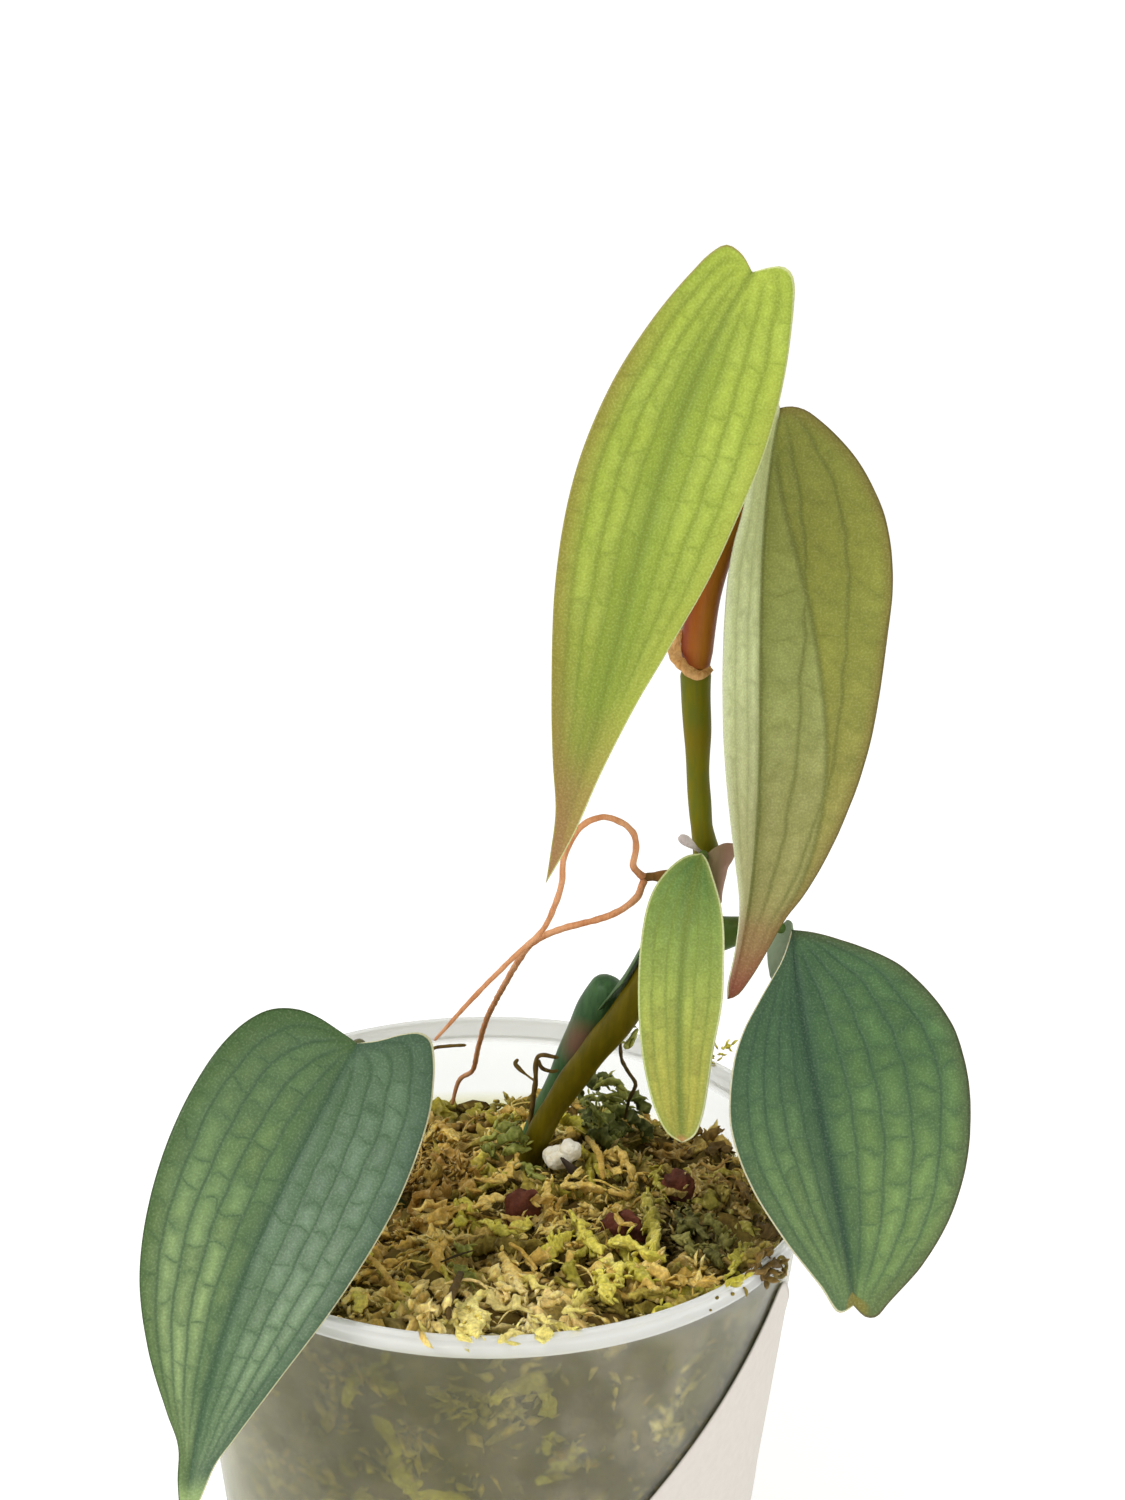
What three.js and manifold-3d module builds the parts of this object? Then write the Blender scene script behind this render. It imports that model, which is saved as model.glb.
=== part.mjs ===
// A young climbing philodendron in a frosted nursery pot, in millimetres, +Z up.
// The origin is the middle of the pot's flat base. The plant leans towards -Y, its showing side.
import * as THREE from 'three';
import { mergeVertices } from 'three/addons/utils/BufferGeometryUtils.js';
import Module from 'manifold-3d';

const wasm = await Module();
wasm.setup();

// Driving dimensions of the pot
const POT_HEIGHT = 78;
const RIM_RADIUS = 45;
const RIM_BAND = 3.2;
const RIM_LIP = 0.9;
const RIM_OVERHANG = 1.1;
const WALL = 0.9;
const WALL_TAPER = 0.112;
const FLOOR = 1.2;
const POT_SIDES = 48;
const DRAIN_HOLES = 8;
const DRAIN_RADIUS = 2.8;
const DRAIN_RING = 27;

// Clearance between pieces that touch
const GAP = 0.3;

// A blade's thickness at its margin, as a share of that at the midrib
const EDGE_SHARE = 0.4;

// Driving dimensions of the moss bed: it slopes down towards the back and swells round the stem
const MOSS_LEVEL = 71;
const MOSS_SLOPE = 0.11;
const MOSS_SWELL = { x: 6, y: 8, height: 3, reach: 22 };
const MOSS_FRONT = { y: -46, height: 1.1, reach: 14 };
const MOSS_LUMP = 0.7;
const MOSS_RINGS = [1, 0.86, 0.68, 0.5, 0.32, 0.16];

// Driving dimensions of the sticker, an oblong stuck on at a slant
const LABEL = { length: 46, width: 36, thickness: 0.3, corner: [-16.5, 70], slant: 44.5 };

const UP = new THREE.Vector3(0, 0, 1);

const colours = {
  pot: 0xd8dcdd,
  paper: 0xdfd6cc,
  moss: 0xb99a4a,
  greenMoss: 0x8f9438,
  oldStem: 0x7b7a35,
  youngStem: 0x6b6a1e,
  darkGreen: 0x3f6b45,
  leafTop: 0xa9c34f,
  leafOlive: 0x7f8b45,
  leafSmall: 0x8cab58,
  leafDark: 0x4f7355,
  leafDeep: 0x4d7050,
  sheathRed: 0x8b3a1e,
  sheathTan: 0xd9a56b,
  sheathPink: 0xa5806d,
  bract: 0xcfc4c0,
  root: 0xc98f63,
  twig: 0x3e3418,
  bark: 0x5e2a1e,
  perlite: 0xede6cf,
};

/** Names a geometry as a piece of the plant, with its own material. */
function piece(name, geometry, color, roughness = 0.6) {
  const material = new THREE.MeshStandardMaterial({ color, roughness, metalness: 0 });
  const mesh = new THREE.Mesh(geometry, material);
  mesh.name = name;
  return mesh;
}

/** Volume inside a closed indexed geometry, negative where its faces point inwards. */
function signedVolume(geometry) {
  const { index, attributes } = geometry;
  const corner = [0, 1, 2].map(() => new THREE.Vector3());
  let volume = 0;
  for (let i = 0; i < index.count; i += 3) {
    corner.forEach((c, k) => c.fromBufferAttribute(attributes.position, index.getX(i + k)));
    volume += corner[0].dot(corner[1].cross(corner[2])) / 6;
  }
  return volume;
}

/** Welds a geometry into one closed skin with its faces outwards and no collapsed triangles. */
function weld(source) {
  const bare = new THREE.BufferGeometry();
  bare.setAttribute('position', source.attributes.position.clone());
  if (source.index) bare.setIndex(source.index.clone());
  const merged = mergeVertices(bare, 2e-3);
  const index = merged.index.array;
  const kept = [];
  for (let i = 0; i < index.length; i += 3) {
    const [a, b, c] = [index[i], index[i + 1], index[i + 2]];
    if (a !== b && b !== c && c !== a) kept.push(a, b, c);
  }
  merged.setIndex(kept);
  if (signedVolume(merged) < 0) {
    for (let i = 0; i < kept.length; i += 3) [kept[i], kept[i + 1]] = [kept[i + 1], kept[i]];
    merged.setIndex(kept);
  }
  merged.computeVertexNormals();
  return merged;
}

/** Moves every vertex of a closed geometry through a function and welds the result. */
function reshape(geometry, move) {
  const position = geometry.attributes.position;
  const vertex = new THREE.Vector3();
  for (let i = 0; i < position.count; i++) {
    vertex.fromBufferAttribute(position, i);
    const moved = move(vertex.clone());
    position.setXYZ(i, moved.x, moved.y, moved.z);
  }
  return weld(geometry);
}

/** A closed geometry as a solid for cutting and joining. */
function solid(geometry) {
  const vertProperties = Float32Array.from(geometry.attributes.position.array);
  const triVerts = Uint32Array.from(geometry.index.array);
  return new wasm.Manifold(new wasm.Mesh({ numProp: 3, vertProperties, triVerts }));
}

/** A solid turned back into a geometry. */
function fromSolid(body) {
  const mesh = body.getMesh();
  const geometry = new THREE.BufferGeometry();
  geometry.setAttribute('position', new THREE.BufferAttribute(mesh.vertProperties, 3));
  geometry.setIndex(Array.from(mesh.triVerts));
  return weld(geometry);
}

/** A smooth curve through points given as [x, y, z]. */
function curveThrough(points) {
  return new THREE.CatmullRomCurve3(points.map((p) => new THREE.Vector3(...p)), false, 'centripetal');
}

/** Straight-line blend of a list of values spread evenly over 0 to 1. */
function blend(values, t) {
  const place = THREE.MathUtils.clamp(t, 0, 1) * (values.length - 1);
  const low = Math.min(Math.floor(place), values.length - 2);
  return THREE.MathUtils.lerp(values[low], values[low + 1], place - low);
}

/**
 * A closed round stem along a curve.
 * path: [x, y, z] points; radii: thickness along it; grow: how far the skin is pushed out.
 */
function stem(path, radii, { sides = 8, steps = 8, grow = 0 } = {}) {
  const curve = curveThrough(path);
  const frames = curve.computeFrenetFrames(steps, false);
  const rod = new THREE.CylinderGeometry(1, 1, 1, sides, steps);
  return reshape(rod, (v) => {
    const t = THREE.MathUtils.clamp(v.y + 0.5, 0, 1);
    const ring = Math.round(t * steps);
    const reach = blend(radii, t) + grow;
    const ends = grow * (ring === 0 ? -1 : ring === steps ? 1 : 0);
    return curve
      .getPointAt(t)
      .addScaledVector(frames.binormals[ring], v.x * reach)
      .addScaledVector(frames.normals[ring], v.z * reach)
      .addScaledVector(frames.tangents[ring], ends);
  });
}

/**
 * A leaf blade as one thin closed solid.
 * midrib: four control points from the notch to the tip; facing: where the upper face looks;
 * folds: degrees that the left and right halves rise off the midrib;
 * left, right: margins as [along, across] millimetres in the flattened leaf, from notch to tip.
 */
class Blade {
  constructor({ midrib, facing, folds, left, right, thickness = 0.6 }) {
    this.midrib = new THREE.CubicBezierCurve3(...midrib.map((p) => new THREE.Vector3(...p)));
    this.length = this.midrib.getLength();
    this.facing = new THREE.Vector3(...facing).normalize();
    this.folds = folds.map((degrees) => THREE.MathUtils.degToRad(degrees));
    this.margins = [left, right].map((side) => {
      const stretch = this.length / side.at(-1)[0];
      return curveThrough(side.map(([u, v]) => [u * stretch, v, 0]));
    });
    this.thickness = thickness;
  }

  /** Point and outward normal of the blade's middle layer, at q across (-1 left, 1 right). */
  at(t, q) {
    const side = q < 0 ? 0 : 1;
    const edge = this.margins[side].getPointAt(t);
    const share = Math.abs(q);
    const along = THREE.MathUtils.lerp(t * this.length, edge.x, share);
    const across = edge.y * share;
    const reach = THREE.MathUtils.clamp(along / this.length, 0, 1);
    const tangent = this.midrib.getTangentAt(reach);
    const aside = new THREE.Vector3().crossVectors(this.facing, tangent).normalize();
    const normal = new THREE.Vector3().crossVectors(tangent, aside).normalize();
    const spread = across * Math.cos(this.folds[side]) * Math.sign(q);
    const rise = across * Math.sin(this.folds[side]);
    const point = this.midrib
      .getPointAt(reach)
      .addScaledVector(tangent, along - reach * this.length)
      .addScaledVector(aside, spread)
      .addScaledVector(normal, rise);
    return { point, normal };
  }

  geometry(rows = 22, columns = 6) {
    const slab = new THREE.BoxGeometry(2, 1, 1, columns, rows, 1);
    return reshape(slab, (v) => {
      const t = THREE.MathUtils.clamp(v.y + 0.5, 0, 1);
      const { point, normal } = this.at(t, v.x);
      const isEnd = t === 0 || t === 1;
      const thin = isEnd ? EDGE_SHARE : THREE.MathUtils.lerp(1, EDGE_SHARE, v.x * v.x);
      return point.addScaledVector(normal, v.z * this.thickness * thin);
    });
  }
}

/**
 * A thin curved wrap round a path, such as a sheath or a bract.
 * radii: distance from the path along it; spans: half of the angle covered, in degrees;
 * toward: the direction that the middle of the wrap faces.
 */
function wrap({ path, radii, spans, toward, thickness = 0.4 }, rows = 8, columns = 6) {
  const curve = curveThrough(path);
  const face = new THREE.Vector3(...toward).normalize();
  const slab = new THREE.BoxGeometry(2, 1, 1, columns, rows, 1);
  return reshape(slab, (v) => {
    const t = THREE.MathUtils.clamp(v.y + 0.5, 0, 1);
    const tangent = curve.getTangentAt(t);
    const aside = new THREE.Vector3().crossVectors(face, tangent).normalize();
    const front = new THREE.Vector3().crossVectors(tangent, aside).normalize();
    const angle = v.x * THREE.MathUtils.degToRad(blend(spans, t));
    const reach = blend(radii, t) + v.z * thickness;
    return curve
      .getPointAt(t)
      .addScaledVector(aside, Math.sin(angle) * reach)
      .addScaledVector(front, Math.cos(angle) * reach);
  });
}

/** An uneven lump: a ball pressed to three half sizes, with a few soft dents. */
function lump([x, y, z], [a, b, c], turn = 0, detail = 1) {
  const ball = new THREE.IcosahedronGeometry(1, detail);
  return reshape(ball, (v) => {
    const dent = 1 + 0.12 * Math.sin(5 * v.x + 2 * v.y) + 0.1 * Math.cos(4 * v.z + 3 * v.y);
    const pressed = new THREE.Vector3(v.x * a, v.y * b, v.z * c).multiplyScalar(dent);
    return pressed.applyAxisAngle(UP, turn).add(new THREE.Vector3(x, y, z));
  });
}

/** Radius of the pot's outer wall at a height. */
function wallRadius(z) {
  return RIM_RADIUS - RIM_OVERHANG - WALL_TAPER * (POT_HEIGHT - z);
}

/** Height of the moss bed at a place. */
function mossHeight(x, y) {
  const { height, reach } = MOSS_SWELL;
  const away = Math.hypot(x - MOSS_SWELL.x, y - MOSS_SWELL.y) / reach;
  const lumps = MOSS_LUMP * (Math.sin(0.45 * x + 1) * Math.cos(0.38 * y) + 0.6 * Math.sin(0.9 * y + 0.5 * x));
  const ahead = (y - MOSS_FRONT.y) / MOSS_FRONT.reach;
  const bank = MOSS_FRONT.height * Math.exp(-ahead * ahead);
  return MOSS_LEVEL - MOSS_SLOPE * y + height * Math.exp(-away * away) + bank + lumps;
}

/** A turned shape about the Z axis from a closed outline of [radius, height] points. */
function turned(outline, sides) {
  const profile = outline.map(([r, z]) => new THREE.Vector2(r, z));
  return weld(new THREE.LatheGeometry(profile, sides).rotateX(Math.PI / 2));
}

function potGeometry() {
  const bandFoot = POT_HEIGHT - RIM_BAND;
  const inner = (z) => wallRadius(z) - WALL;
  const shell = turned([
    [0, 0],
    [wallRadius(0) - 1, 0],
    [wallRadius(1), 1],
    [wallRadius(bandFoot), bandFoot],
    [RIM_RADIUS, bandFoot + 0.4],
    [RIM_RADIUS, POT_HEIGHT - 0.4],
    [RIM_RADIUS - 0.3, POT_HEIGHT],
    [RIM_RADIUS - RIM_LIP, POT_HEIGHT],
    [inner(bandFoot), bandFoot],
    [inner(FLOOR), FLOOR],
    [0, FLOOR],
  ], POT_SIDES);
  let pot = solid(shell);
  for (let i = 0; i < DRAIN_HOLES; i++) {
    const angle = (i / DRAIN_HOLES) * 2 * Math.PI;
    const drill = new THREE.CylinderGeometry(DRAIN_RADIUS, DRAIN_RADIUS, 4 * FLOOR, 10)
      .rotateX(Math.PI / 2)
      .translate(DRAIN_RING * Math.cos(angle), DRAIN_RING * Math.sin(angle), FLOOR);
    pot = pot.subtract(solid(weld(drill)));
  }
  return fromSolid(pot);
}

/** The sticker, wrapped on the wall: its flat sheet is turned, then rolled round the cone. */
function labelGeometry() {
  const { length, width, thickness, corner, slant } = LABEL;
  const turn = THREE.MathUtils.degToRad(slant);
  const down = [-Math.cos(turn), -Math.sin(turn)];
  const across = [Math.sin(turn), -Math.cos(turn)];
  const rollRadius = wallRadius(POT_HEIGHT / 2);
  const sheet = new THREE.BoxGeometry(1, 1, 1, 12, 12, 1);
  return reshape(sheet, (v) => {
    const a = (v.x + 0.5) * length;
    const b = (v.y + 0.5) * width;
    const arc = corner[0] + a * down[0] + b * across[0];
    const z = corner[1] + a * down[1] + b * across[1];
    const reach = wallRadius(z) + GAP + (v.z + 0.5) * thickness;
    const angle = arc / rollRadius;
    return new THREE.Vector3(reach * Math.cos(angle), reach * Math.sin(angle), z);
  });
}

// Paths of the round pieces, from the moss upwards, and their radii
const LOWER_STEM = {
  path: [
    [3, 13, 36], [4, 12, 60], [6.3, 9, 75.6], [11.9, 7, 87.3], [19, 4.5, 99], [25.3, 2, 113], [28.7, 0.8, 122],
  ],
  radii: [1.2, 1.2, 1.2, 1.5, 2, 2.2, 2.2],
};
const UPPER_STEM = {
  path: [
    [28.9, 0.7, 122.5], [29.1, 0.65, 123.3], [28.3, 0.7, 126.5], [27.2, 0.3, 132.1], [26.6, 0, 139],
    [26.3, 0.3, 149.3],
  ],
  radii: [1.9, 1.6, 1.7, 1.85, 1.95],
};
const OLD_PETIOLE = {
  path: [[4, 16.5, 62], [5.3, 14, 72.1], [9.9, 11.6, 83.9], [14.1, 10, 95.5], [16.2, 9.4, 100.4]],
  radii: [1.6, 1.7, 1.9, 2.1, 2.2],
};
const PETIOLES = {
  petiole_top: {
    path: [
      [25.4, 1.6, 149.9], [24.6, 4, 156], [24.6, 6, 169.8], [27.7, 8, 182.5], [30.6, 7.2, 194], [31.4, 2.8, 199],
    ],
    radii: [0.8, 0.95, 0.9, 0.8, 0.75, 0.7],
  },
  petiole_upper_right: {
    path: [[27.3, 1.6, 149.9], [28.2, 4, 157.1], [30.5, 6.4, 164.7], [34.6, 10, 175.8], [36.2, 9, 181.2]],
    radii: [0.8, 0.9, 0.9, 0.8, 0.7],
  },
  petiole_small: {
    path: [[28.1, -1.9, 122.6], [27.9, -2.8, 124], [27.6, -3.6, 124.8]],
    radii: [0.8, 0.7, 0.6],
  },
  petiole_left: {
    path: [
      [-1.5, 11, 60], [-9, 4, 64], [-14, -1, 71.5], [-14, -8, 90.3], [-15.9, -15, 99.7], [-16.4, -19.3, 104],
    ],
    radii: [1.4, 1.4, 1.3, 1.2, 1.1, 1],
  },
  petiole_right: {
    path: [[28.5, 1.3, 111], [31.3, 0.4, 111.8], [35.1, -1, 113.4], [38.2, -2.4, 114.3], [39.5, -4, 114.2]],
    radii: [2.3, 2.2, 1.8, 1.4, 1.1],
  },
};
const AERIAL_ROOTS = {
  root_stub: {
    path: [[24.6, -0.6, 120.4], [22.4, -1.5, 120.6], [20.1, -2.6, 120.9]],
    radii: [1, 0.8, 0.55],
    steps: 4,
  },
  aerial_root_high: {
    path: [
      [19.7, -3.2, 121.7], [18.5, -4.2, 123.2], [18.8, -5.2, 125.6], [18.4, -6.3, 128.4], [16.6, -7.6, 130.5],
      [14.2, -8.8, 131.5], [11.9, -9.6, 130.8], [10.5, -10, 129.1], [9.4, -10, 126.3], [9.2, -9.4, 122.6],
      [8.2, -8.4, 118.6], [6.7, -7.4, 115], [3.5, -7, 111.5], [-1.5, -7.8, 106.3], [-7.3, -9, 99.7],
    ],
    radii: [0.45, 0.42, 0.42, 0.42, 0.42, 0.42, 0.4, 0.38, 0.36, 0.32, 0.2],
    steps: 34,
  },
  aerial_root_low: {
    path: [
      [20, -3.3, 120], [19.1, -4.8, 118.9], [17, -5.6, 117.4], [14.2, -5.4, 116], [10.4, -4, 114.3],
      [7.5, -2, 112.3], [5.1, 1, 109.4], [3.6, 4, 105.9], [1.1, 11, 98.3], [-1.5, 20, 89], [-3, 27, 80.8],
      [-4.1, 32.5, 74.4], [-6.2, 35.5, 71.3], [-7.4, 36.5, 66.5],
    ],
    radii: [0.45, 0.45, 0.45, 0.45, 0.45, 0.45, 0.42, 0.42, 0.4, 0.36, 0.3],
    steps: 30,
  },
};
const BURIED_ROOTS = {
  buried_root_front: [[3.5, 10.9, 44], [4, 3, 38], [2, -8, 28], [-3, -18, 16], [-9, -23, 8]],
  buried_root_left: [[1.9, 12.5, 50], [-9, 15, 44], [-19, 13, 33], [-25, 6, 22], [-24, -3, 12]],
  buried_root_back: [[3.3, 14.5, 42], [6, 23, 36], [4, 29, 24], [-3, 27, 12], [-10, 22, 6]],
  buried_root_right: [[5.2, 12.4, 48], [14, 9, 42], [23, 4, 32], [27, -5, 20], [22, -14, 10]],
};
const BURIED_RADII = [0.6, 0.8, 0.7, 0.55, 0.35];
const TWIGS = {
  twig_bent: {
    path: [[9.2, 6.2, 90], [6.4, 6.6, 90], [6, 7.2, 85.5], [5.2, 7.9, 79], [4.2, 8, 73.5]],
    radii: [0.35, 0.4, 0.4, 0.4, 0.4],
  },
  twig_small: {
    path: [[1.2, 13, 82.5], [2.2, 12.5, 80.6], [3.6, 11.6, 79.6], [4.6, 10.4, 79.4], [5.2, 8.9, 79.2]],
    radii: [0.5, 0.3, 0.3, 0.3, 0.25],
  },
  twig_dark: {
    path: [[-5, 33, 78.6], [-7.6, 32.6, 78.6], [-10.2, 32, 78.3], [-11.8, 31.8, 76], [-12.6, 31.6, 68.5]],
    radii: [0.3, 0.3, 0.35, 0.4, 0.4],
  },
};

// The five blades
const BLADES = {
  leaf_top: {
    midrib: [[31.3, 2, 199.2], [17.1, -3.3, 176.5], [16.9, -15.7, 151.2], [7.2, -20, 126.7]],
    facing: [0, -1, 0.2],
    folds: [8, 8],
    left: [[0, 0], [-1.1, 2.3], [-1, 4.5], [1, 5.7], [3.5, 6.4], [11, 8.2], [20, 9.8], [31, 10.5],
      [43.5, 9.4], [57.5, 6.4], [65, 4.2], [71, 2], [76, 0.9], [80, 0]],
    right: [[0, 0], [-1.5, 1.4], [-2.5, 2.8], [-2.4, 4.1], [-1.2, 5.4], [2.2, 7.2], [7.6, 9.2], [14, 10.6],
      [21.5, 11.1], [29, 10.5], [38.5, 9], [49, 6], [56, 3.9], [65, 2], [73, 1.1], [80, 0]],
  },
  leaf_upper_right: {
    midrib: [[36.1, 8, 181.6], [31.2, 1, 157.7], [38.3, -3, 130.8], [31, -12, 107.8]],
    facing: [0.2, -1, 0],
    folds: [45, 5],
    left: [[0, 0], [-1, 1.5], [0, 3], [5, 4.2], [13.7, 5.8], [19.7, 8.2], [29, 9.6], [38, 9.8],
      [45, 9.2], [53, 7.4], [59, 5.1], [65, 2], [70.5, 0.6], [77, 0]],
    right: [[0, 0], [-0.5, 1.3], [-0.5, 3.3], [0.7, 6.1], [2.8, 9.1], [5.2, 11.5], [8.8, 13.9], [13.2, 15.9],
      [21.5, 17.3], [31, 16.5], [45, 14], [56, 10], [62.6, 6.7], [66, 4.3], [70, 2.7], [77, 0]],
  },
  leaf_small: {
    midrib: [[27.5, -4, 125], [23.9, -10.6, 114.8], [24.6, -16.2, 103], [25.3, -20, 91.1]],
    facing: [0, -1, 0.3],
    folds: [8, 8],
    left: [[0, 0], [1, 1.9], [3, 3.6], [5.3, 4.8], [8, 5.5], [15, 5.7], [24, 5.2], [29, 4.5], [33.4, 3.4],
      [36.5, 1.9], [37.9, 0]],
    right: [[0, 0], [0.7, 0.9], [3, 2.4], [6, 3.9], [9.5, 4.9], [14, 5.4], [19.5, 5.5], [26, 4.4],
      [34.5, 2.8], [37, 1.6], [37.9, 0]],
  },
  leaf_left: {
    midrib: [[-16.4, -20, 104.5], [-24, -36.6, 93.8], [-33.8, -48.3, 77.1], [-34.1, -56, 57]],
    facing: [0, -1, 0.4],
    folds: [8, 8],
    left: [[0, 0], [-0.2, 2.8], [-0.3, 6], [0.2, 8.8], [2.2, 11.8], [5.3, 13.7], [10, 15], [18.2, 15.4],
      [27.5, 14.3], [36, 11.9], [43, 8.3], [49.4, 4.1], [53, 1.9], [57, 1.3], [63.6, 0]],
    right: [[0, 0], [-1.5, 2.3], [-3.6, 4.6], [-4.8, 6.6], [-4.5, 8.1], [-2.5, 9.6], [1, 11.1], [5, 12.4],
      [13, 13.5], [20.4, 13.5], [32, 11.6], [43, 8], [51, 4.6], [54.2, 3], [58, 1.9], [63.6, 0]],
  },
  leaf_right: {
    midrib: [[39.6, -5, 114.8], [40.2, -16.4, 103.3], [44.7, -27, 91.2], [46.4, -35, 77]],
    facing: [0.2, -1, 0.5],
    folds: [10, 10],
    left: [[0, 0], [1.6, 0.5], [4.4, 1.8], [7, 3.6], [10.3, 6.1], [13.8, 8.7], [18, 10.9], [25.2, 12.7],
      [32.4, 11.6], [40, 8.1], [46, 4.2], [49.3, 2.2], [49.2, 1], [48.7, 0]],
    right: [[0, 0], [0.5, 3.2], [1.8, 7], [3.6, 10.6], [5.8, 13.6], [9, 16], [15.6, 19], [23.5, 19.6],
      [32, 17.8], [39, 14.3], [44.6, 9.5], [48.6, 4.6], [50.3, 2.6], [50.2, 1.4], [48.7, 0]],
  },
};

/** The moss bed: it fills the pot, with a bore round every stem and root that enters it. */
function mossGeometry() {
  const bottom = FLOOR + GAP;
  const inside = (z) => wallRadius(z) - WALL - 2 * GAP;
  const lowest = MOSS_LEVEL - MOSS_SLOPE * RIM_RADIUS - 2 * MOSS_LUMP;
  const bed = turned([
    [0, bottom],
    [inside(bottom), bottom],
    [inside(lowest), lowest - 1],
    ...MOSS_RINGS.map((share) => [inside(MOSS_LEVEL) * share, MOSS_LEVEL]),
    [0, MOSS_LEVEL],
  ], POT_SIDES);
  const heaped = reshape(bed, (v) => {
    if (v.z > lowest) {
      const height = mossHeight(v.x, v.y);
      const radius = Math.hypot(v.x, v.y);
      const fit = Math.min(1, inside(height) / Math.max(radius, 1));
      v.set(v.x * fit, v.y * fit, height);
    }
    return v;
  });
  const bores = [
    stem(LOWER_STEM.path, LOWER_STEM.radii, { steps: 10, grow: GAP }),
    stem(OLD_PETIOLE.path, OLD_PETIOLE.radii, { steps: 6, grow: GAP }),
    stem(PETIOLES.petiole_left.path, PETIOLES.petiole_left.radii, { steps: 10, grow: GAP }),
    stem(AERIAL_ROOTS.aerial_root_low.path, AERIAL_ROOTS.aerial_root_low.radii,
      { sides: 6, steps: AERIAL_ROOTS.aerial_root_low.steps, grow: GAP }),
    ...Object.values(BURIED_ROOTS).map((path) => stem(path, BURIED_RADII, { sides: 6, grow: GAP })),
    ...Object.values(TWIGS).map(({ path, radii }) => stem(path, radii, { sides: 5, grow: GAP })),
  ];
  return fromSolid(bores.reduce((bedSolid, bore) => bedSolid.subtract(solid(bore)), solid(heaped)));
}

const plant = new THREE.Group();

plant.add(piece('pot', potGeometry(), colours.pot, 0.35));
plant.add(piece('label', labelGeometry(), colours.paper, 0.8));
plant.add(piece('moss_bed', mossGeometry(), colours.moss, 0.95));

plant.add(piece('lower_stem', stem(LOWER_STEM.path, LOWER_STEM.radii, { steps: 10 }), colours.oldStem));
plant.add(piece('upper_stem', stem(UPPER_STEM.path, UPPER_STEM.radii, { steps: 6 }), colours.youngStem));
plant.add(piece('old_petiole', stem(OLD_PETIOLE.path, OLD_PETIOLE.radii, { steps: 6 }), colours.darkGreen));
for (const [name, { path, radii }] of Object.entries(PETIOLES)) {
  plant.add(piece(name, stem(path, radii, { sides: 8, steps: 10 }), colours.youngStem));
}

const bladeColours = {
  leaf_top: colours.leafTop,
  leaf_upper_right: colours.leafOlive,
  leaf_small: colours.leafSmall,
  leaf_left: colours.leafDark,
  leaf_right: colours.leafDeep,
};
for (const [name, blade] of Object.entries(BLADES)) {
  plant.add(piece(name, new Blade(blade).geometry(), bladeColours[name], 0.5));
}

for (const [name, { path, radii, steps }] of Object.entries(AERIAL_ROOTS)) {
  plant.add(piece(name, stem(path, radii, { sides: 6, steps }), colours.root, 0.7));
}
for (const [name, path] of Object.entries(BURIED_ROOTS)) {
  plant.add(piece(name, stem(path, BURIED_RADII, { sides: 6 }), colours.root, 0.7));
}
for (const [name, { path, radii }] of Object.entries(TWIGS)) {
  plant.add(piece(name, stem(path, radii, { sides: 5 }), colours.twig, 0.9));
}

plant.add(piece('red_sheath', wrap({
  path: [[26.4, 1.3, 150.2], [27, 1.6, 155.8], [28.4, 2.4, 161.2], [30, 4, 165.4], [31.6, 6, 168.8]],
  radii: [2.2, 2.1, 1.9, 1.6, 1.3],
  spans: [95, 72, 60, 45, 20],
  toward: [0.25, -1, 0],
}), colours.sheathRed));
plant.add(piece('dried_ring', wrap({
  path: [[26.3, 0.3, 147.6], [26.3, 0.6, 149.4], [26.2, 1, 151.6]],
  radii: [2.4, 2.75, 3.4],
  spans: [130, 120, 95],
  toward: [-0.5, -1, 0],
  thickness: 0.5,
}, 4, 12), colours.sheathTan, 0.9));
plant.add(piece('node_bract', wrap({
  path: [[26.7, -2.2, 124.4], [26, -2.7, 125.6], [24.9, -3, 126.9]],
  radii: [0.7, 0.9, 0.6],
  spans: [50, 60, 40],
  toward: [-0.6, -1, 0.2],
}, 4, 4), colours.bract));
plant.add(piece('node_flap', wrap({
  path: [[29.2, -0.6, 117.4], [30.2, -0.9, 121], [31.2, -1.2, 124], [32, -1.4, 125.8]],
  radii: [1, 1.6, 2, 2.2],
  spans: [15, 40, 50, 30],
  toward: [0.3, -1, 0],
}, 6, 4), colours.sheathPink));
plant.add(piece('old_sheath', wrap({
  path: [[16.8, 5.4, 96], [20.6, 4, 102.3], [23, 3, 107.4], [25.2, 2.1, 112.6]],
  radii: [2.7, 2.8, 2.9, 2.8],
  spans: [20, 45, 45, 15],
  toward: [-0.9, 0.6, 0.3],
}, 6, 4), colours.darkGreen));

plant.add(piece('perlite_grain', lump([10.2, 6.3, 75.2], [2.6, 2, 1.9], 0.3), colours.perlite, 0.9));
plant.add(piece('bark_chip_left', lump([4.7, -8, 75.9], [2.2, 1.5, 2.1], 0.2), colours.bark, 0.7));
plant.add(piece('bark_chip_middle', lump([18, -11.2, 74.9], [2.4, 1.6, 1.5], -0.4), colours.bark, 0.7));
plant.add(piece('bark_chip_right', lump([26, -1, 74.85], [2.2, 1.7, 1.9], 0.3), colours.bark, 0.7));
plant.add(piece('moss_clump', lump([17.5, 14, 75.5], [4.4, 3.4, 3.6], 0.4), colours.greenMoss, 0.95));

export default plant;
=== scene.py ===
"""A young climbing philodendron in a frosted nursery pot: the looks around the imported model.

Sizes are in millimetres until a mesh is written, where MM turns them to metres.
The showing side is -Y. Every piece rides on the one body of the part.
"""
import logging
import math
from collections.abc import Callable, Sequence
from dataclasses import dataclass, field
from enum import Enum
from functools import partial

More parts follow.
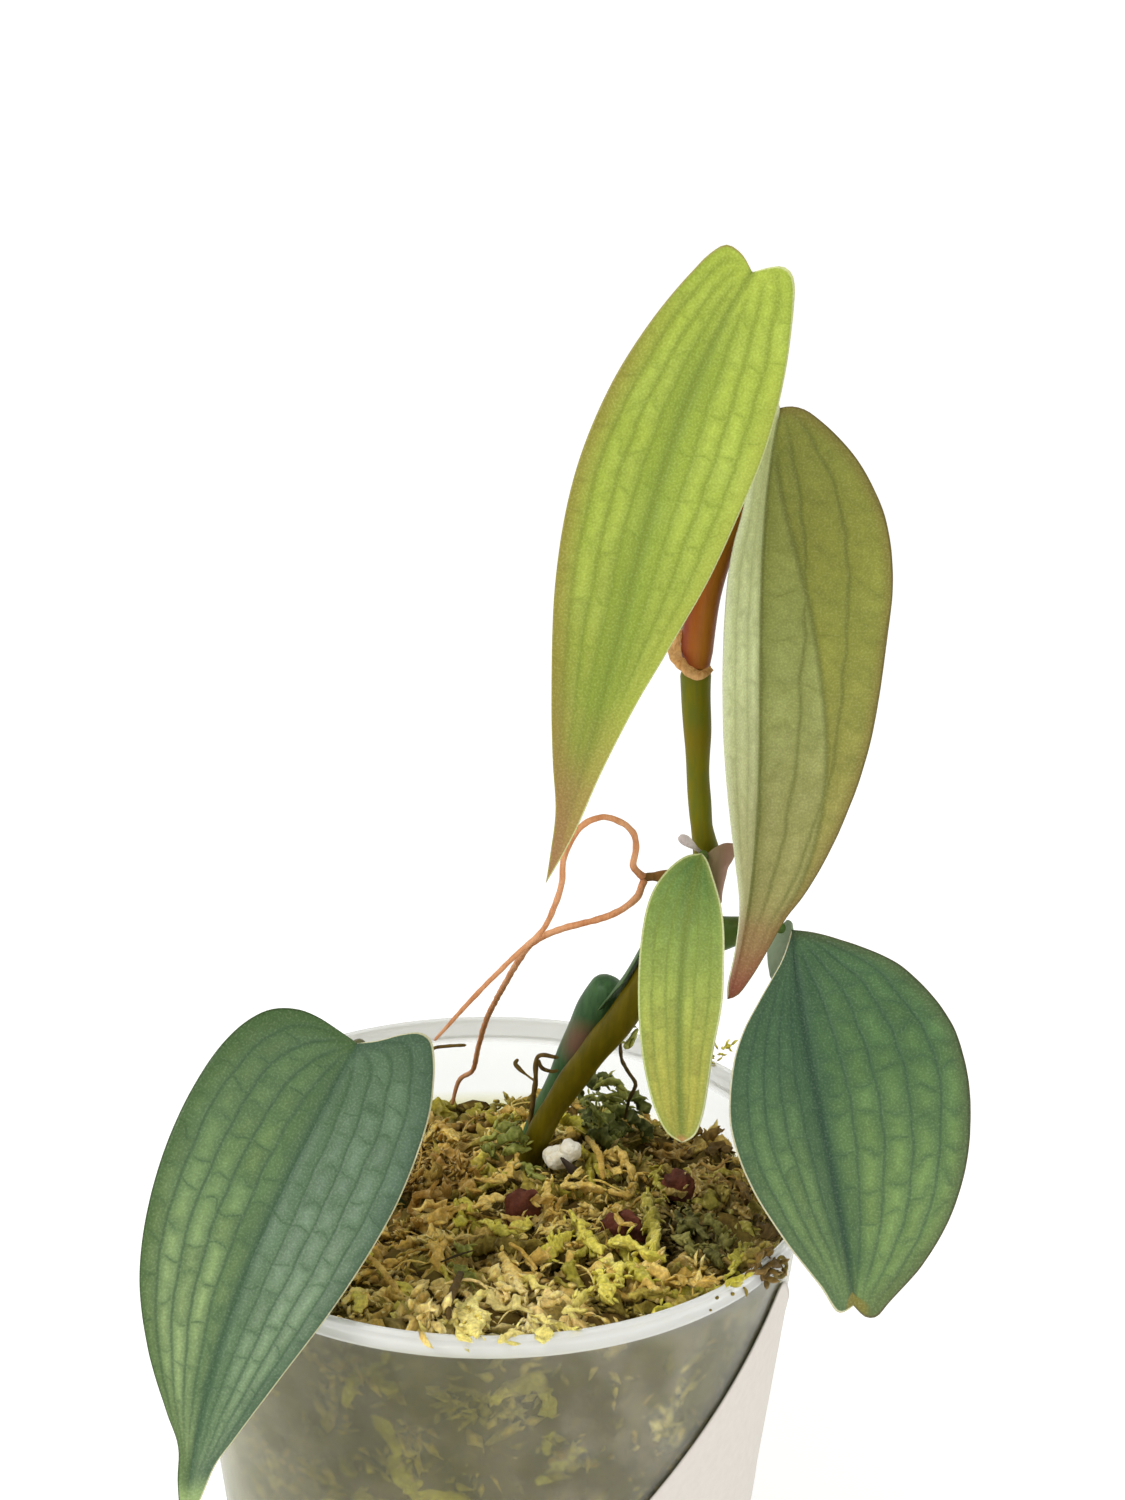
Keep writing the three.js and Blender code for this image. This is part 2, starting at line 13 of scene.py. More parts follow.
import bpy
import numpy as np
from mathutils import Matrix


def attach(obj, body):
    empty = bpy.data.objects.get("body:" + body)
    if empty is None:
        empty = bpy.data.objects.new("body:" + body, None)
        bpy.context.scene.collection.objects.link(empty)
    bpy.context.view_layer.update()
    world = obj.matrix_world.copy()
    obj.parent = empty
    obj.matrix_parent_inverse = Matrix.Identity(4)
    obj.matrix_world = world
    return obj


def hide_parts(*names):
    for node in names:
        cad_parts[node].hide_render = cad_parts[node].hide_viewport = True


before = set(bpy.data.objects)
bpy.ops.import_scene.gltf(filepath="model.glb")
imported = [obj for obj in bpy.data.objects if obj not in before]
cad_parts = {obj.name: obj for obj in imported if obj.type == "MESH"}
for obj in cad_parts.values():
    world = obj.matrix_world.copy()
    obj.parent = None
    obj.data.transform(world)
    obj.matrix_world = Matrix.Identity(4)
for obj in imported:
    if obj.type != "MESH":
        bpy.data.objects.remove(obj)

logging.basicConfig(level=logging.INFO, format="%(message)s")
LOG = logging.getLogger("philodendron")

MM = 0.001
BODY = "root"
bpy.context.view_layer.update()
FULL_TURN = 2 * math.pi

Point = Sequence[float]
Array = np.ndarray
Adder = Callable[..., bpy.types.Node]
Value = bpy.types.Node | bpy.types.NodeSocket | float | str


def linear(hex_colour: str) -> tuple[float, float, float, float]:
    """Turns an sRGB hex colour into the linear values that a shader reads.

    Args:
        hex_colour: six hex digits after a hash.

    Returns:
        Linear red, green and blue, and an alpha of one.
    """
    parts = [int(hex_colour[i:i + 2], 16) / 255 for i in (1, 3, 5)]
    red, green, blue = (p / 12.92 if p <= 0.04045 else ((p + 0.055) / 1.055) ** 2.4 for p in parts)
    return red, green, blue, 1.0


def add_node(tree: bpy.types.NodeTree, kind: str, inputs: dict | Sequence = (), **settings: object) -> bpy.types.Node:
    """Adds a node with its settings, values and links.

    Args:
        tree: the tree that gets the node.
        kind: the node's type name, without ShaderNode where it starts with that.
        inputs: values by socket name or number, or in the sockets' order. Each is a plain value, a hex colour, the
            socket that feeds it, or a node whose first output in use does.
        settings: properties of the node itself.

    Returns:
        The new node.
    """
    made = tree.nodes.new(kind if "Node" in kind else "ShaderNode" + kind)
    for name, value in settings.items():
        setattr(made, name, value)
    for name, value in inputs.items() if isinstance(inputs, dict) else enumerate(inputs):
        if isinstance(value, bpy.types.Node):
            value = next(socket for socket in value.outputs if socket.enabled)
        if isinstance(value, bpy.types.NodeSocket):
            tree.links.new(value, made.inputs[name])
        else:
            is_colour = isinstance(value, str) and value.startswith("#")
            made.inputs[name].default_value = linear(value) if is_colour else value
    return made


def fill_ramp(ramp_node: bpy.types.Node, stops: Sequence[tuple[float, str]]) -> None:
    """Sets a colour ramp's stops.

    Args:
        ramp_node: the ramp.
        stops: places from 0 to 1, each with its hex colour.
    """
    elements = ramp_node.color_ramp.elements
    while len(elements) > len(stops):
        elements.remove(elements[-1])
    while len(elements) < len(stops):
        elements.new(0.5)
    for element, (place, colour) in zip(elements, stops):
        element.position = place
        element.color = linear(colour)


def new_material(name: str) -> tuple[bpy.types.Material, Adder]:
    """Makes an empty node material.

    Args:
        name: the finish's name.

    Returns:
        The material, and add_node for its tree.
    """
    material = bpy.data.materials.new(name)
    material.use_nodes = True
    material.node_tree.nodes.clear()
    return material, partial(add_node, material.node_tree)


def finish_surface(add: Adder, inputs: dict) -> None:
    """Ends a material in one Principled surface.

    Args:
        add: adds a node to the material's tree.
        inputs: the surface's values and links.
    """
    add("OutputMaterial", {"Surface": add("BsdfPrincipled", inputs)})


def unit(vectors: Array) -> Array:
    """Vectors brought to length one."""
    return vectors / np.maximum(np.linalg.norm(vectors, axis=-1, keepdims=True), 1e-12)


def blend(values: Sequence[float], share: Array) -> Array:
    """Values spread evenly over 0 to 1, read at shares."""
    return np.interp(share, np.linspace(0, 1, len(values)), values)


def circle(sides: int) -> Array:
    """Angles of evenly spread places round a circle."""
    return np.linspace(0, FULL_TURN, sides, endpoint=False)


def ripple(points: Array, wavelength: float, seed: int) -> Array:
    """A smooth random field over space, from waves in random directions.

    Args:
        points: places, in millimetres.
        wavelength: the typical wave's length.
        seed: picks the field.

    Returns:
        One value for each place, mostly within -1 to 1.
    """
    rng = np.random.default_rng(seed)
    total = np.zeros(points.shape[:-1])
    waves = 7
    for _ in range(waves):
        direction = unit(rng.normal(size=3)) * FULL_TURN / (wavelength * rng.uniform(0.7, 1.5))
        total += np.sin(points @ direction + rng.uniform(0, FULL_TURN))
    return total / math.sqrt(waves)


class Path:
    """A smooth curve through points, measured by its own length."""

    SAMPLES_PER_SPAN = 24
    REACH = 2e-3

    def __init__(self, points: Sequence[Point]) -> None:
        """Lays the curve through the points.

        Args:
            points: two or more points, of any number of coordinates.
        """
        knots = np.array(points, float)
        ends = np.vstack([2 * knots[0] - knots[1], knots, 2 * knots[-1] - knots[-2]])
        steps = np.maximum(np.linalg.norm(np.diff(ends, axis=0), axis=1) ** 0.5, 1e-6)
        share = np.linspace(0, 1, self.SAMPLES_PER_SPAN, endpoint=False)[:, None]
        spans = []
        for i in range(1, len(ends) - 2):
            before, start, stop, after = ends[i - 1:i + 3]
            d0, d1, d2 = steps[i - 1:i + 2]
            lead = ((start - before) / d0 - (stop - before) / (d0 + d1) + (stop - start) / d1) * d1
            trail = ((stop - start) / d1 - (after - start) / (d1 + d2) + (after - stop) / d2) * d1
            spans.append(
                start + lead * share + (3 * (stop - start) - 2 * lead - trail) * share ** 2
                + (2 * (start - stop) + lead + trail) * share ** 3)
        self._measure(np.vstack([*spans, knots[-1:]]))

    def _measure(self, points: Array) -> None:
        """Keeps the curve's points and how far along it each lies.

        Args:
            points: places in order along the curve.
        """
        self.points = points
        self.lengths = np.concatenate([[0], np.cumsum(np.linalg.norm(np.diff(points, axis=0), axis=1))])
        self.length = float(self.lengths[-1])

    def at(self, share: Array | float) -> Array:
        """Points at shares (0 to 1) of the length."""
        place = np.atleast_1d(share) * self.length
        return np.stack([np.interp(place, self.lengths, axis) for axis in self.points.T], axis=-1)

    def along(self, share: Array | float) -> Array:
        """Unit directions at shares (0 to 1) of the length."""
        share = np.atleast_1d(share)
        return unit(self.at(np.clip(share + self.REACH, 0, 1)) - self.at(np.clip(share - self.REACH, 0, 1)))


class Bezier(Path):
    """A cubic curve from four control points, measured by its own length."""

    def __init__(self, controls: Sequence[Point]) -> None:
        """Lays the curve.

        Args:
            controls: the four control points.
        """
        a, b, c, d = (np.array(p, float) for p in controls)
        t = np.linspace(0, 1, 240)[:, None]
        self._measure((1 - t) ** 3 * a + 3 * (1 - t) ** 2 * t * b + 3 * (1 - t) * t ** 2 * c + t ** 3 * d)


def build_mesh(name: str, points: Array, faces: Sequence[Sequence[int]], smooth: bool = True) -> bpy.types.Object:
    """Makes an object at the origin from points in millimetres.

    Args:
        name: the piece's name.
        points: its vertices.
        faces: vertex numbers of each face, counter-clockwise from outside.
        smooth: shade the faces smoothly.

    Returns:
        The object, linked to the scene.
    """
    mesh = bpy.data.meshes.new(name)
    mesh.from_pydata((np.asarray(points) * MM).tolist(), [], faces)
    mesh.polygons.foreach_set("use_smooth", [smooth] * len(mesh.polygons))
    mesh.update()
    made = bpy.data.objects.new(name, mesh)
    bpy.context.scene.collection.objects.link(made)
    return made


def read_places(mesh: bpy.types.Mesh) -> Array:
    """Reads where a mesh's vertices are, in its own metres.

    Args:
        mesh: the mesh.

    Returns:
        One row for each vertex.
    """
    places = np.empty(len(mesh.vertices) * 3)
    mesh.vertices.foreach_get("co", places)
    return places.reshape(-1, 3)


def write_floats(mesh: bpy.types.Mesh, name: str, values: Array | float) -> None:
    """Stores one number for each vertex, or the same for all, under a name that a material can read."""
    values = np.broadcast_to(np.ravel(values), len(mesh.vertices)) if np.size(values) == 1 else np.ravel(values)
    mesh.attributes.new(name, "FLOAT", "POINT").data.foreach_set("value", values.astype(float))


def write_uv(mesh: bpy.types.Mesh, name: str, per_vertex: Array) -> None:
    """Stores a UV map given for each vertex.

    Args:
        mesh: the mesh.
        name: the map's name.
        per_vertex: two numbers for each vertex.
    """
    corners = np.empty(len(mesh.loops), int)
    mesh.loops.foreach_get("vertex_index", corners)
    mesh.uv_layers.new(name=name).data.foreach_set("uv", per_vertex[corners].ravel())


def settle(piece: bpy.types.Object, material: bpy.types.Material | None, slot: str, *nodes: str) -> None:
    """Dresses a finished piece and places it on the body.

    Args:
        piece: the object, at the origin.
        material: its finish, or None where it has its own already.
        slot: a material slot's name; not used.
        nodes: the CAD nodes that it stands for.
    """
    if material is not None:
        piece.data.materials.clear()
        piece.data.materials.append(material)
    if nodes:
        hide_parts(*nodes)
    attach(piece, BODY)
    LOG.info("%s: %d faces", piece.name, len(piece.data.polygons))


def grid_faces(rows: int, columns: int, start: int = 0, closed: bool = False) -> list[list[int]]:
    """Four-sided faces over a grid of vertices stored row by row.

    Args:
        rows: how many rows of vertices there are.
        columns: how many vertices a row has.
        start: the first vertex's number.
        closed: join the last column to the first.

    Returns:
        The faces.
    """
    across = columns if closed else columns - 1
    return [
        [start + i * columns + j, start + i * columns + (j + 1) % columns,
         start + (i + 1) * columns + (j + 1) % columns, start + (i + 1) * columns + j]
        for i in range(rows - 1) for j in range(across)]


def capped_faces(rings: int, sides: int) -> list[list[int]]:
    """Faces of a body of rings whose two end points come after them.

    Args:
        rings: how many rings there are.
        sides: vertices a ring.

    Returns:
        The faces, the rings' own first.
    """
    first, last, base = rings * sides, rings * sides + 1, (rings - 1) * sides
    start = [[first, (j + 1) % sides, j] for j in range(sides)]
    end = [[last, base + j, base + (j + 1) % sides] for j in range(sides)]
    return grid_faces(rings, sides, closed=True) + start + end


def shell_faces(rows: int, columns: int) -> list[list[int]]:
    """Faces of a thin closed sheet from an outer and an inner grid of vertices.

    Args:
        rows: rows of each grid.
        columns: vertices a row.

    Returns:
        The faces, the outer grid's first.
    """
    count = rows * columns
    outer = grid_faces(rows, columns)
    inner = [[v + count for v in reversed(f)] for f in outer]
    border = list(range(columns))
    border += [i * columns + columns - 1 for i in range(1, rows)]
    border += [(rows - 1) * columns + j for j in range(columns - 2, -1, -1)]
    border += [i * columns for i in range(rows - 2, 0, -1)]
    rim = [[b, a, a + count, b + count] for a, b in zip(border, border[1:] + border[:1])]
    return outer + inner + rim


def join_shapes(parts: Sequence[tuple]) -> tuple:
    """Joins shapes in one.

    Args:
        parts: each shape's points, its faces and any rows of values for its points.

    Returns:
        The same for all of them together.
    """
    points, sheets, *values = zip(*parts)
    starts = np.cumsum([0, *map(len, points)]).tolist()
    faces = [[v + start for v in face] for start, sheet in zip(starts, sheets) for face in sheet]
    return np.vstack(points), faces, *map(np.concatenate, values)


def orient(piece: bpy.types.Object) -> None:
    """Turns a closed mesh's faces outwards if its volume reads as negative.

    Args:
        piece: the object.
    """
    mesh = piece.data
    mesh.calc_loop_triangles()
    triangles = np.empty(len(mesh.loop_triangles) * 3, int)
    mesh.loop_triangles.foreach_get("vertices", triangles)
    a, b, c = (read_places(mesh)[triangles.reshape(-1, 3)[:, k]] for k in range(3))
    if np.einsum("ij,ij->i", a, np.cross(b, c)).sum() < 0:
        mesh.flip_normals()


@dataclass
class Tube:
    """A round stem, root or twig: a tapering tube with rounded ends along a path."""

    path: Sequence[Point]
    radii: Sequence[float]
    sides: int = 20
    rings: int = 60
    wobble: float = 0.04
    wavelength: float = 6.0
    seed: int = 1

    def mesh(self, name: str) -> bpy.types.Object:
        """Builds the tube.

        Args:
            name: the piece's name.

        Returns:
            The object.
        """
        curve = Path(self.path)
        share = np.linspace(0, 1, self.rings)
        axis, direction = curve.at(share), curve.along(share)
        side = self._transported(direction)
        other = np.cross(direction, side)
        reach = blend(self.radii, share)
        from_end = np.minimum(share, 1 - share) * curve.length
        roundness = np.clip(from_end / (0.7 * reach), 0, 1)
        reach = reach * np.sqrt(1 - (1 - roundness) ** 2 * 0.85)
        turn = circle(self.sides)
        spokes = np.cos(turn)[None, :, None] * side[:, None] + np.sin(turn)[None, :, None] * other[:, None]
        points = axis[:, None] + spokes * reach[:, None, None]
        swell = 1 + self.wobble * ripple(points, self.wavelength, self.seed)
        points = axis[:, None] + spokes * (reach[:, None] * swell)[..., None]
        return build_mesh(
            name, np.vstack([points.reshape(-1, 3), axis[:1], axis[-1:]]), capped_faces(self.rings, self.sides))

    @staticmethod
    def _transported(direction: Array) -> Array:
        """Side vectors that turn as little as possible along a path.

        Args:
            direction: the path's directions, in order.

        Returns:
            A unit vector square to each of them.
        """
        side = np.cross(direction[0], [0, 0, 1.0])
        if np.linalg.norm(side) < 1e-3:
            side = np.cross(direction[0], [0, 1.0, 0])
        sides = []
        for d in direction:
            side = side - d * np.dot(side, d)
            side = side / np.linalg.norm(side)
            sides.append(side)
        return np.array(sides)


@dataclass
class Wrap:
    """A thin sheath curled round a path."""

    path: Sequence[Point]
    radii: Sequence[float]
    spans: Sequence[float]
    toward: Point
    thickness: float = 0.3
    rows: int = 40
    columns: int = 40

    def mesh(self, name: str) -> bpy.types.Object:
        """Builds the wrap.

        Args:
            name: the piece's name.

        Returns:
            The closed thin object, with a UV map of (across -1 to 1, along 0 to 1).
        """
        curve = Path(self.path)
        across = np.linspace(-1, 1, self.columns)
        share = np.repeat(np.linspace(0, 1, self.rows)[:, None], self.columns, 1)
        shape = share.shape
        tangent = curve.along(share.ravel()).reshape(*shape, 3)
        aside = unit(np.cross(np.array(self.toward, float), tangent))
        front = unit(np.cross(tangent, aside))
        angle = across[None] * np.radians(blend(self.spans, share))
        axis = curve.at(share.ravel()).reshape(*shape, 3)
        outward = np.sin(angle)[..., None] * aside + np.cos(angle)[..., None] * front
        middle = axis + outward * blend(self.radii, share)[..., None]
        half = outward * (self.thickness / 2 * (1 - 0.6 * np.abs(across)[None] ** 3) * np.ones(shape))[..., None]
        skins = np.vstack([(middle + half).reshape(-1, 3), (middle - half).reshape(-1, 3)])
        made = build_mesh(name, skins, shell_faces(self.rows, self.columns))
        uv = np.stack([np.tile(across, (self.rows, 1)), share], -1).reshape(-1, 2)
        write_uv(made.data, "share", np.vstack([uv, uv]))
        orient(made)
        return made


@dataclass
class Sheet:
    """A thin closed flap through a small net of points: a bract, a torn sheath or a curled lobe."""

    net: Sequence[Sequence[Point]]
    thickness: float = 0.25
    crumple: float = 0.0
    rows: int = 30
    columns: int = 24
    seed: int = 9

    def mesh(self, name: str) -> bpy.types.Object:
        """Builds the sheet.

        Args:
            name: the piece's name.

        Returns:
            The object, with a UV map of (across -1 to 1, along 0 to 1).
        """
        across, along = np.linspace(0, 1, self.columns), np.linspace(0, 1, self.rows)
        lines = np.array([Path(line).at(across) for line in self.net])
        middle = np.stack([Path(lines[:, j]).at(along) for j in range(self.columns)], 1)
        normal = unit(np.cross(np.gradient(middle, axis=1), np.gradient(middle, axis=0)) + 1e-9)
        middle = middle + normal * (self.crumple * ripple(middle, 2.0, self.seed))[..., None]
        half = normal * self.thickness / 2
        skins = np.vstack([(middle + half).reshape(-1, 3), (middle - half).reshape(-1, 3)])
        made = build_mesh(name, skins, shell_faces(self.rows, self.columns))
        share = np.stack(np.meshgrid(along, 2 * across - 1, indexing="ij")[::-1], -1).reshape(-1, 2)
        write_uv(made.data, "share", np.vstack([share, share]))
        orient(made)
        return made


class Side(Enum):
    """The two halves of a blade, as seen from its upper face."""

    LEFT = -1
    RIGHT = 1


@dataclass
class Blade:
    """A leaf blade: its midrib in space, and its flattened outline as (along, across) points."""

    name: str
    midrib: Sequence[Point]
    facing: Point
    folds: tuple[float, float]
    left: Sequence[tuple[float, float]]
    right: Sequence[tuple[float, float]]
    veins: float = 5.0
    groove: float = 0.3
    pucker: float = 0.12
    wave: float = 0.35
    thickness: float = 0.42
    edge_share: float = 0.5
    rows: int = 110
    columns: int = 26
    seed: int = 5

    def surface(self) -> dict[str, Array]:
        """Works out the blade's middle layer on a grid from the notch to the tip.

        Returns:
            Points, upward normals, and each vertex's share, flat place and half width.
        """
        rib = Bezier(self.midrib)
        share = np.linspace(0, 1, self.rows + 1)[1:-1]
        across = np.linspace(-1, 1, 2 * self.columns + 1)
        facing = unit(np.array(self.facing, float))
        edges = {}
        for side, outline in ((Side.LEFT, self.left), (Side.RIGHT, self.right)):
            stretch = rib.length / outline[-1][0]
            edges[side] = Path([(u * stretch, v) for u, v in outline]).at(share)
        left, right = edges[Side.LEFT][:, None], edges[Side.RIGHT][:, None]
        is_left = (across < 0)[None, :, None]
        edge = np.where(is_left, left, right)
        size = np.abs(across)[None]
        u = (1 - size) * (share * rib.length)[:, None] + size * edge[..., 0]
        v = size * edge[..., 1]
        fold = np.radians(np.where(is_left[..., 0], self.folds[0], self.folds[1]))
        reach = np.clip(u / rib.length, 0, 1)
        tangent = rib.along(reach.ravel()).reshape(*reach.shape, 3)
        aside = unit(np.cross(facing, tangent))
        normal = unit(np.cross(tangent, aside))
        spine = rib.at(reach.ravel()).reshape(*reach.shape, 3)
        soft = 0.35
        rise = (np.sqrt(v ** 2 + soft ** 2) - soft) * np.sin(fold)
        spread = v * np.cos(fold) * np.sign(across)[None]
        flat = np.stack([v * np.sign(across)[None], u], -1)
        rise = rise + self._relief(v, size, edge[..., 1], flat)
        points = (
            spine + tangent * (u - reach * rib.length)[..., None]
            + aside * spread[..., None] + normal * rise[..., None])
        shares = np.stack([np.tile(across, (len(share), 1)), np.tile(share[:, None], (1, len(across)))], -1)
        return {
            "points": points, "normals": normal, "shares": shares, "flat": flat,
            "half": np.abs(edge[..., 1]) * np.ones_like(v), "ends": rib.at(np.array([0.0, 1.0])),
        }

    def _relief(self, v: Array, size: Array, half: Array, flat: Array) -> Array:
        """How far the skin stands off the plain blade: midrib groove, sunk veins, slow waves.

        Args:
            v: distance from the midrib.
            size: share of the way from the midrib to the edge.
            half: width of that half of the blade.
            flat: place on the flattened blade.

        Returns:
            The height of each vertex.
        """
        wide = np.clip(half / 6, 0, 1)
        groove = -self.groove * np.exp(-(v / 0.8) ** 2) * wide
        beat = np.abs((size * self.veins + 0.5) % 1 - 0.5) * half / self.veins
        veins = self.pucker * (np.clip(beat / 1.1, 0, 1) ** 0.7 - 1) * wide * (size < 0.97)
        spots = np.concatenate([flat, np.zeros((*flat.shape[:-1], 1))], -1)
        waves = self.wave * ripple(spots, 26, self.seed) * size ** 1.5 * wide
        cells = 0.04 * ripple(spots, 3.0, self.seed + 1) * wide
        return groove + veins + waves + cells

    def mesh(self) -> bpy.types.Object:
        """Builds the closed blade.

        Returns:
            The object. Slot 0 is its upper face, slot 1 its underside.
        """
        skin = self.surface()
        rows, columns = skin["half"].shape
        taper = self.edge_share + (1 - self.edge_share) * (1 - skin["shares"][..., 0] ** 4)
        half = (self.thickness / 2 * taper)[..., None] * skin["normals"]
        upper = (skin["points"] + half).reshape(-1, 3)
        lower = (skin["points"] - half).reshape(-1, 3)
        count = rows * columns
        notch, tip = 2 * count, 2 * count + 1
        last = (rows - 1) * columns
        top = grid_faces(rows, columns)
        top += [[notch, j + 1, j] for j in range(columns - 1)]
        top += [[tip, last + j, last + j + 1] for j in range(columns - 1)]
        under = [[v if v >= notch else v + count for v in reversed(f)] for f in top]
        rim = []
        for i in range(rows - 1):
            a, b = i * columns, (i + 1) * columns
            rim.append([a, b, b + count, a + count])
            a, b = a + columns - 1, b + columns - 1
            rim.append([b, a, a + count, b + count])
        rim += [[notch, 0, count], [notch, count + columns - 1, columns - 1]]
        rim += [[tip, last + count, last], [tip, last + columns - 1, last + count + columns - 1]]
        made = build_mesh(self.name + "_blade", np.vstack([upper, lower, skin["ends"]]), top + under + rim)
        slots = [0] * len(top) + [1] * len(under) + [0] * len(rim)
        made.data.polygons.foreach_set("material_index", slots)
        shares, flat, half_width = skin["shares"].reshape(-1, 2), skin["flat"].reshape(-1, 2), skin["half"].ravel()
        write_uv(made.data, "share", np.vstack([shares, shares, [[0, 0], [0, 1]]]))
        write_uv(made.data, "flat", np.vstack([flat, flat, [[0, 0], [0, flat[:, 1].max()]]]))
        write_floats(made.data, "half_width", np.concatenate([half_width, half_width, [0, 0]]))
        orient(made)
        return made


# A leaf's uneven patterns: the size in millimetres, the detail and a shift that keeps them apart
LEAF_CLOUDS = {
    "sway": (6.25, 1.0, 0.0), "drift": (4.5455, 1.0, 31.0), "patch": (13.3333, 2.0, 5.0),
    "mottle": (1.25, 3.0, 3.0), "faint": (3.3333, 2.0, 11.0), "grain": (0.2857, 2.0, 0.0),
}
EASE = {"interpolation_type": "SMOOTHSTEP"}


@dataclass(frozen=True)
class LeafFinish:
    """Leaf skin: satin and faintly velvety, the velvet a painted sheen of pale specks, pillowed between sunk long
    veins and staggered cross veins, with painted shade beside them and the midrib.
    """

    name: str
    cell: str
    painted_shade: str
    patch: str
    vein: str
    midrib: str
    base_tint: str
    tip_tint: str
    margin: str
    right_margin: str
    left_band: str
    right_band: str
    left_tone_and_light: str
    right_tone_and_light: str
    left_share: float = 0.5
    right_share: float = 0.5
    end_tint: str = "#808080"
    end_share: float = 0.0
    end_right: float = 1.0
    band_mm: float = 1.6
    band_share: float = 0.7
    band_start: float = -0.2
    veins: float = 5.0
    brick_mm: float = 4.2
    vein_mm: float = 0.34
    cross_strength: float = 0.45
    vein_strength: float = 0.6
    pillow_shade_mm: float = 1.2
    pillow_shade: float = 0.75
    midrib_mm: float = 0.9
    tip_start: float = 0.9
    base_share: float = 0.5
    base_reach: float = 0.5
    patch_share: float = 0.5
    margin_mm: float = 0.22
    midrib_shade_mm: float = 3.0
    midrib_shade_share: float = 0.4
    turned_slope: float = 0.0
    turned_sheen: str = "#808080"
    left_smooth: float = 0.0
    cell_spread: float = 0.12
    painted_sheen: float = 0.06
    roughness: float = 0.45

    def _places(self, add: Adder) -> dict[str, Value]:
        """Works out where on the blade a point lies.

        Args:
            add: adds a node to the material's tree.

        Returns:
            By name: the uneven patterns, the share along, masks of the two halves, the cell's row and its place
            there, and distances in millimetres.
        """
        flat = add("UVMap", uv_map="flat")
        across, along = add("SeparateXYZ", [add("UVMap", uv_map="share")]).outputs[:2]
        flat_x, flat_y = add("SeparateXYZ", [flat]).outputs[:2]
        half = add("Attribute", attribute_name="half_width").outputs["Fac"]
        clouds = {
            name: add("TexNoise", {
                "Vector": add("Mapping", {"Vector": flat, "Location": (shift, shift, 0)}),
                "Scale": 1 / size_mm, "Detail": detail})
            for name, (size_mm, detail, shift) in LEAF_CLOUDS.items()}
        size = add("Math", [across], operation="ABSOLUTE")
        is_left = add("Math", [across, 0.0], operation="LESS_THAN")

        # Long veins lie side by side from the midrib to the edge, and sway a little
        sway = add("Math", [clouds["sway"], 0.5], operation="SUBTRACT")
        lane = add("Math", [size, self.veins], operation="MULTIPLY")
        lane = add("Math", [sway, 0.35, lane], operation="MULTIPLY_ADD")
        lane_mm = add("Math", [half, self.veins], operation="DIVIDE")
        long_mm = add("Math", [add("Math", [lane, 0.5], operation="PINGPONG"), lane_mm], operation="MULTIPLY")

        # Cross veins cut each lane into cells, staggered like bricks
        row = add("Math", [is_left, 37.0, add("Math", [lane], operation="FLOOR")], operation="MULTIPLY_ADD")
        stagger = add("Math", [add("TexWhiteNoise", {"W": row}, noise_dimensions="1D"), 7.0], operation="MULTIPLY")
        drift = add("Math", [clouds["drift"], 0.5], operation="SUBTRACT")
        run = add("Math", [flat_y, 1 / self.brick_mm, stagger], operation="MULTIPLY_ADD")
        run = add("Math", [drift, 1.5, run], operation="MULTIPLY_ADD")
        cross_mm = add("Math", [add("Math", [run, 0.5], operation="PINGPONG"), self.brick_mm], operation="MULTIPLY")
        cross_off = add("Math", [cross_mm, 0.15], operation="ADD")
        inward = add("Math", [1.0, size], operation="SUBTRACT")
        return clouds | {
            "along": along, "half": half, "sway": sway, "row": row, "run": run, "is_left": is_left,
            "is_right": add("Math", [1.0, is_left], operation="SUBTRACT"), "long_mm": long_mm, "cross_mm": cross_mm,
            "vein_mm": add("Math", [long_mm, cross_off, 0.5], operation="SMOOTH_MIN"),
            "rib_mm": add("Math", [flat_x], operation="ABSOLUTE"),
            "edge_mm": add("Math", [inward, half], operation="MULTIPLY"),
            "beside": add("Math", [along, -self.turned_slope, across], operation="MULTIPLY_ADD"),
        }

    def _tones(self, add: Adder, at: dict[str, Value]) -> list[tuple[Value, Value]]:
        """Broad patches, the two halves' tones, a turned fold, and the blade's base and end. On the half-turned blade
        the pale left half is a painted sheen, the olive right half painted shade and the turned fold a painted sheen;
        on the blue-green blade the right half is a painted bluish reflection.

        Args:
            add: adds a node to the material's tree.
            at: where on the blade a point lies.

        Returns:
            Each layer's share and tone, the lowest first.
        """
        along = at["along"]
        layers = [
            (add("MapRange", [at["patch"], 0.42, 0.62, 0.0, self.patch_share], **EASE), self.patch),
            # A half's tone, on some blades painted light: sheen on one half, shade on another, a bluish reflection on
            # a third
            (add("Math", [at["is_left"], self.left_share], operation="MULTIPLY"), self.left_tone_and_light),
            (add("Math", [at["is_right"], self.right_share], operation="MULTIPLY"), self.right_tone_and_light),
        ]
        if self.turned_slope:
            turned = add("MapRange", [at["beside"], 0.03, -0.02], **EASE)
            turned = add("Math", [turned, at["is_right"]], operation="MULTIPLY")
            ripe = add("MapRange", [along, 0.12, 0.65, 0.25, 0.75], **EASE)
            layers.append((add("Math", [turned, ripe], operation="MULTIPLY"), self.turned_sheen))
        end = add("Math", [at["is_left"], 1 - self.end_right, self.end_right], operation="MULTIPLY_ADD")
        late = add("MapRange", [along, 0.35, 0.9, 0.0, self.end_share], **EASE)
        return layers + [
            (add("MapRange", [along, self.base_reach, 0.0, 0.0, self.base_share], **EASE), self.base_tint),
            (add("Math", [end, late], operation="MULTIPLY"), self.end_tint),
        ]

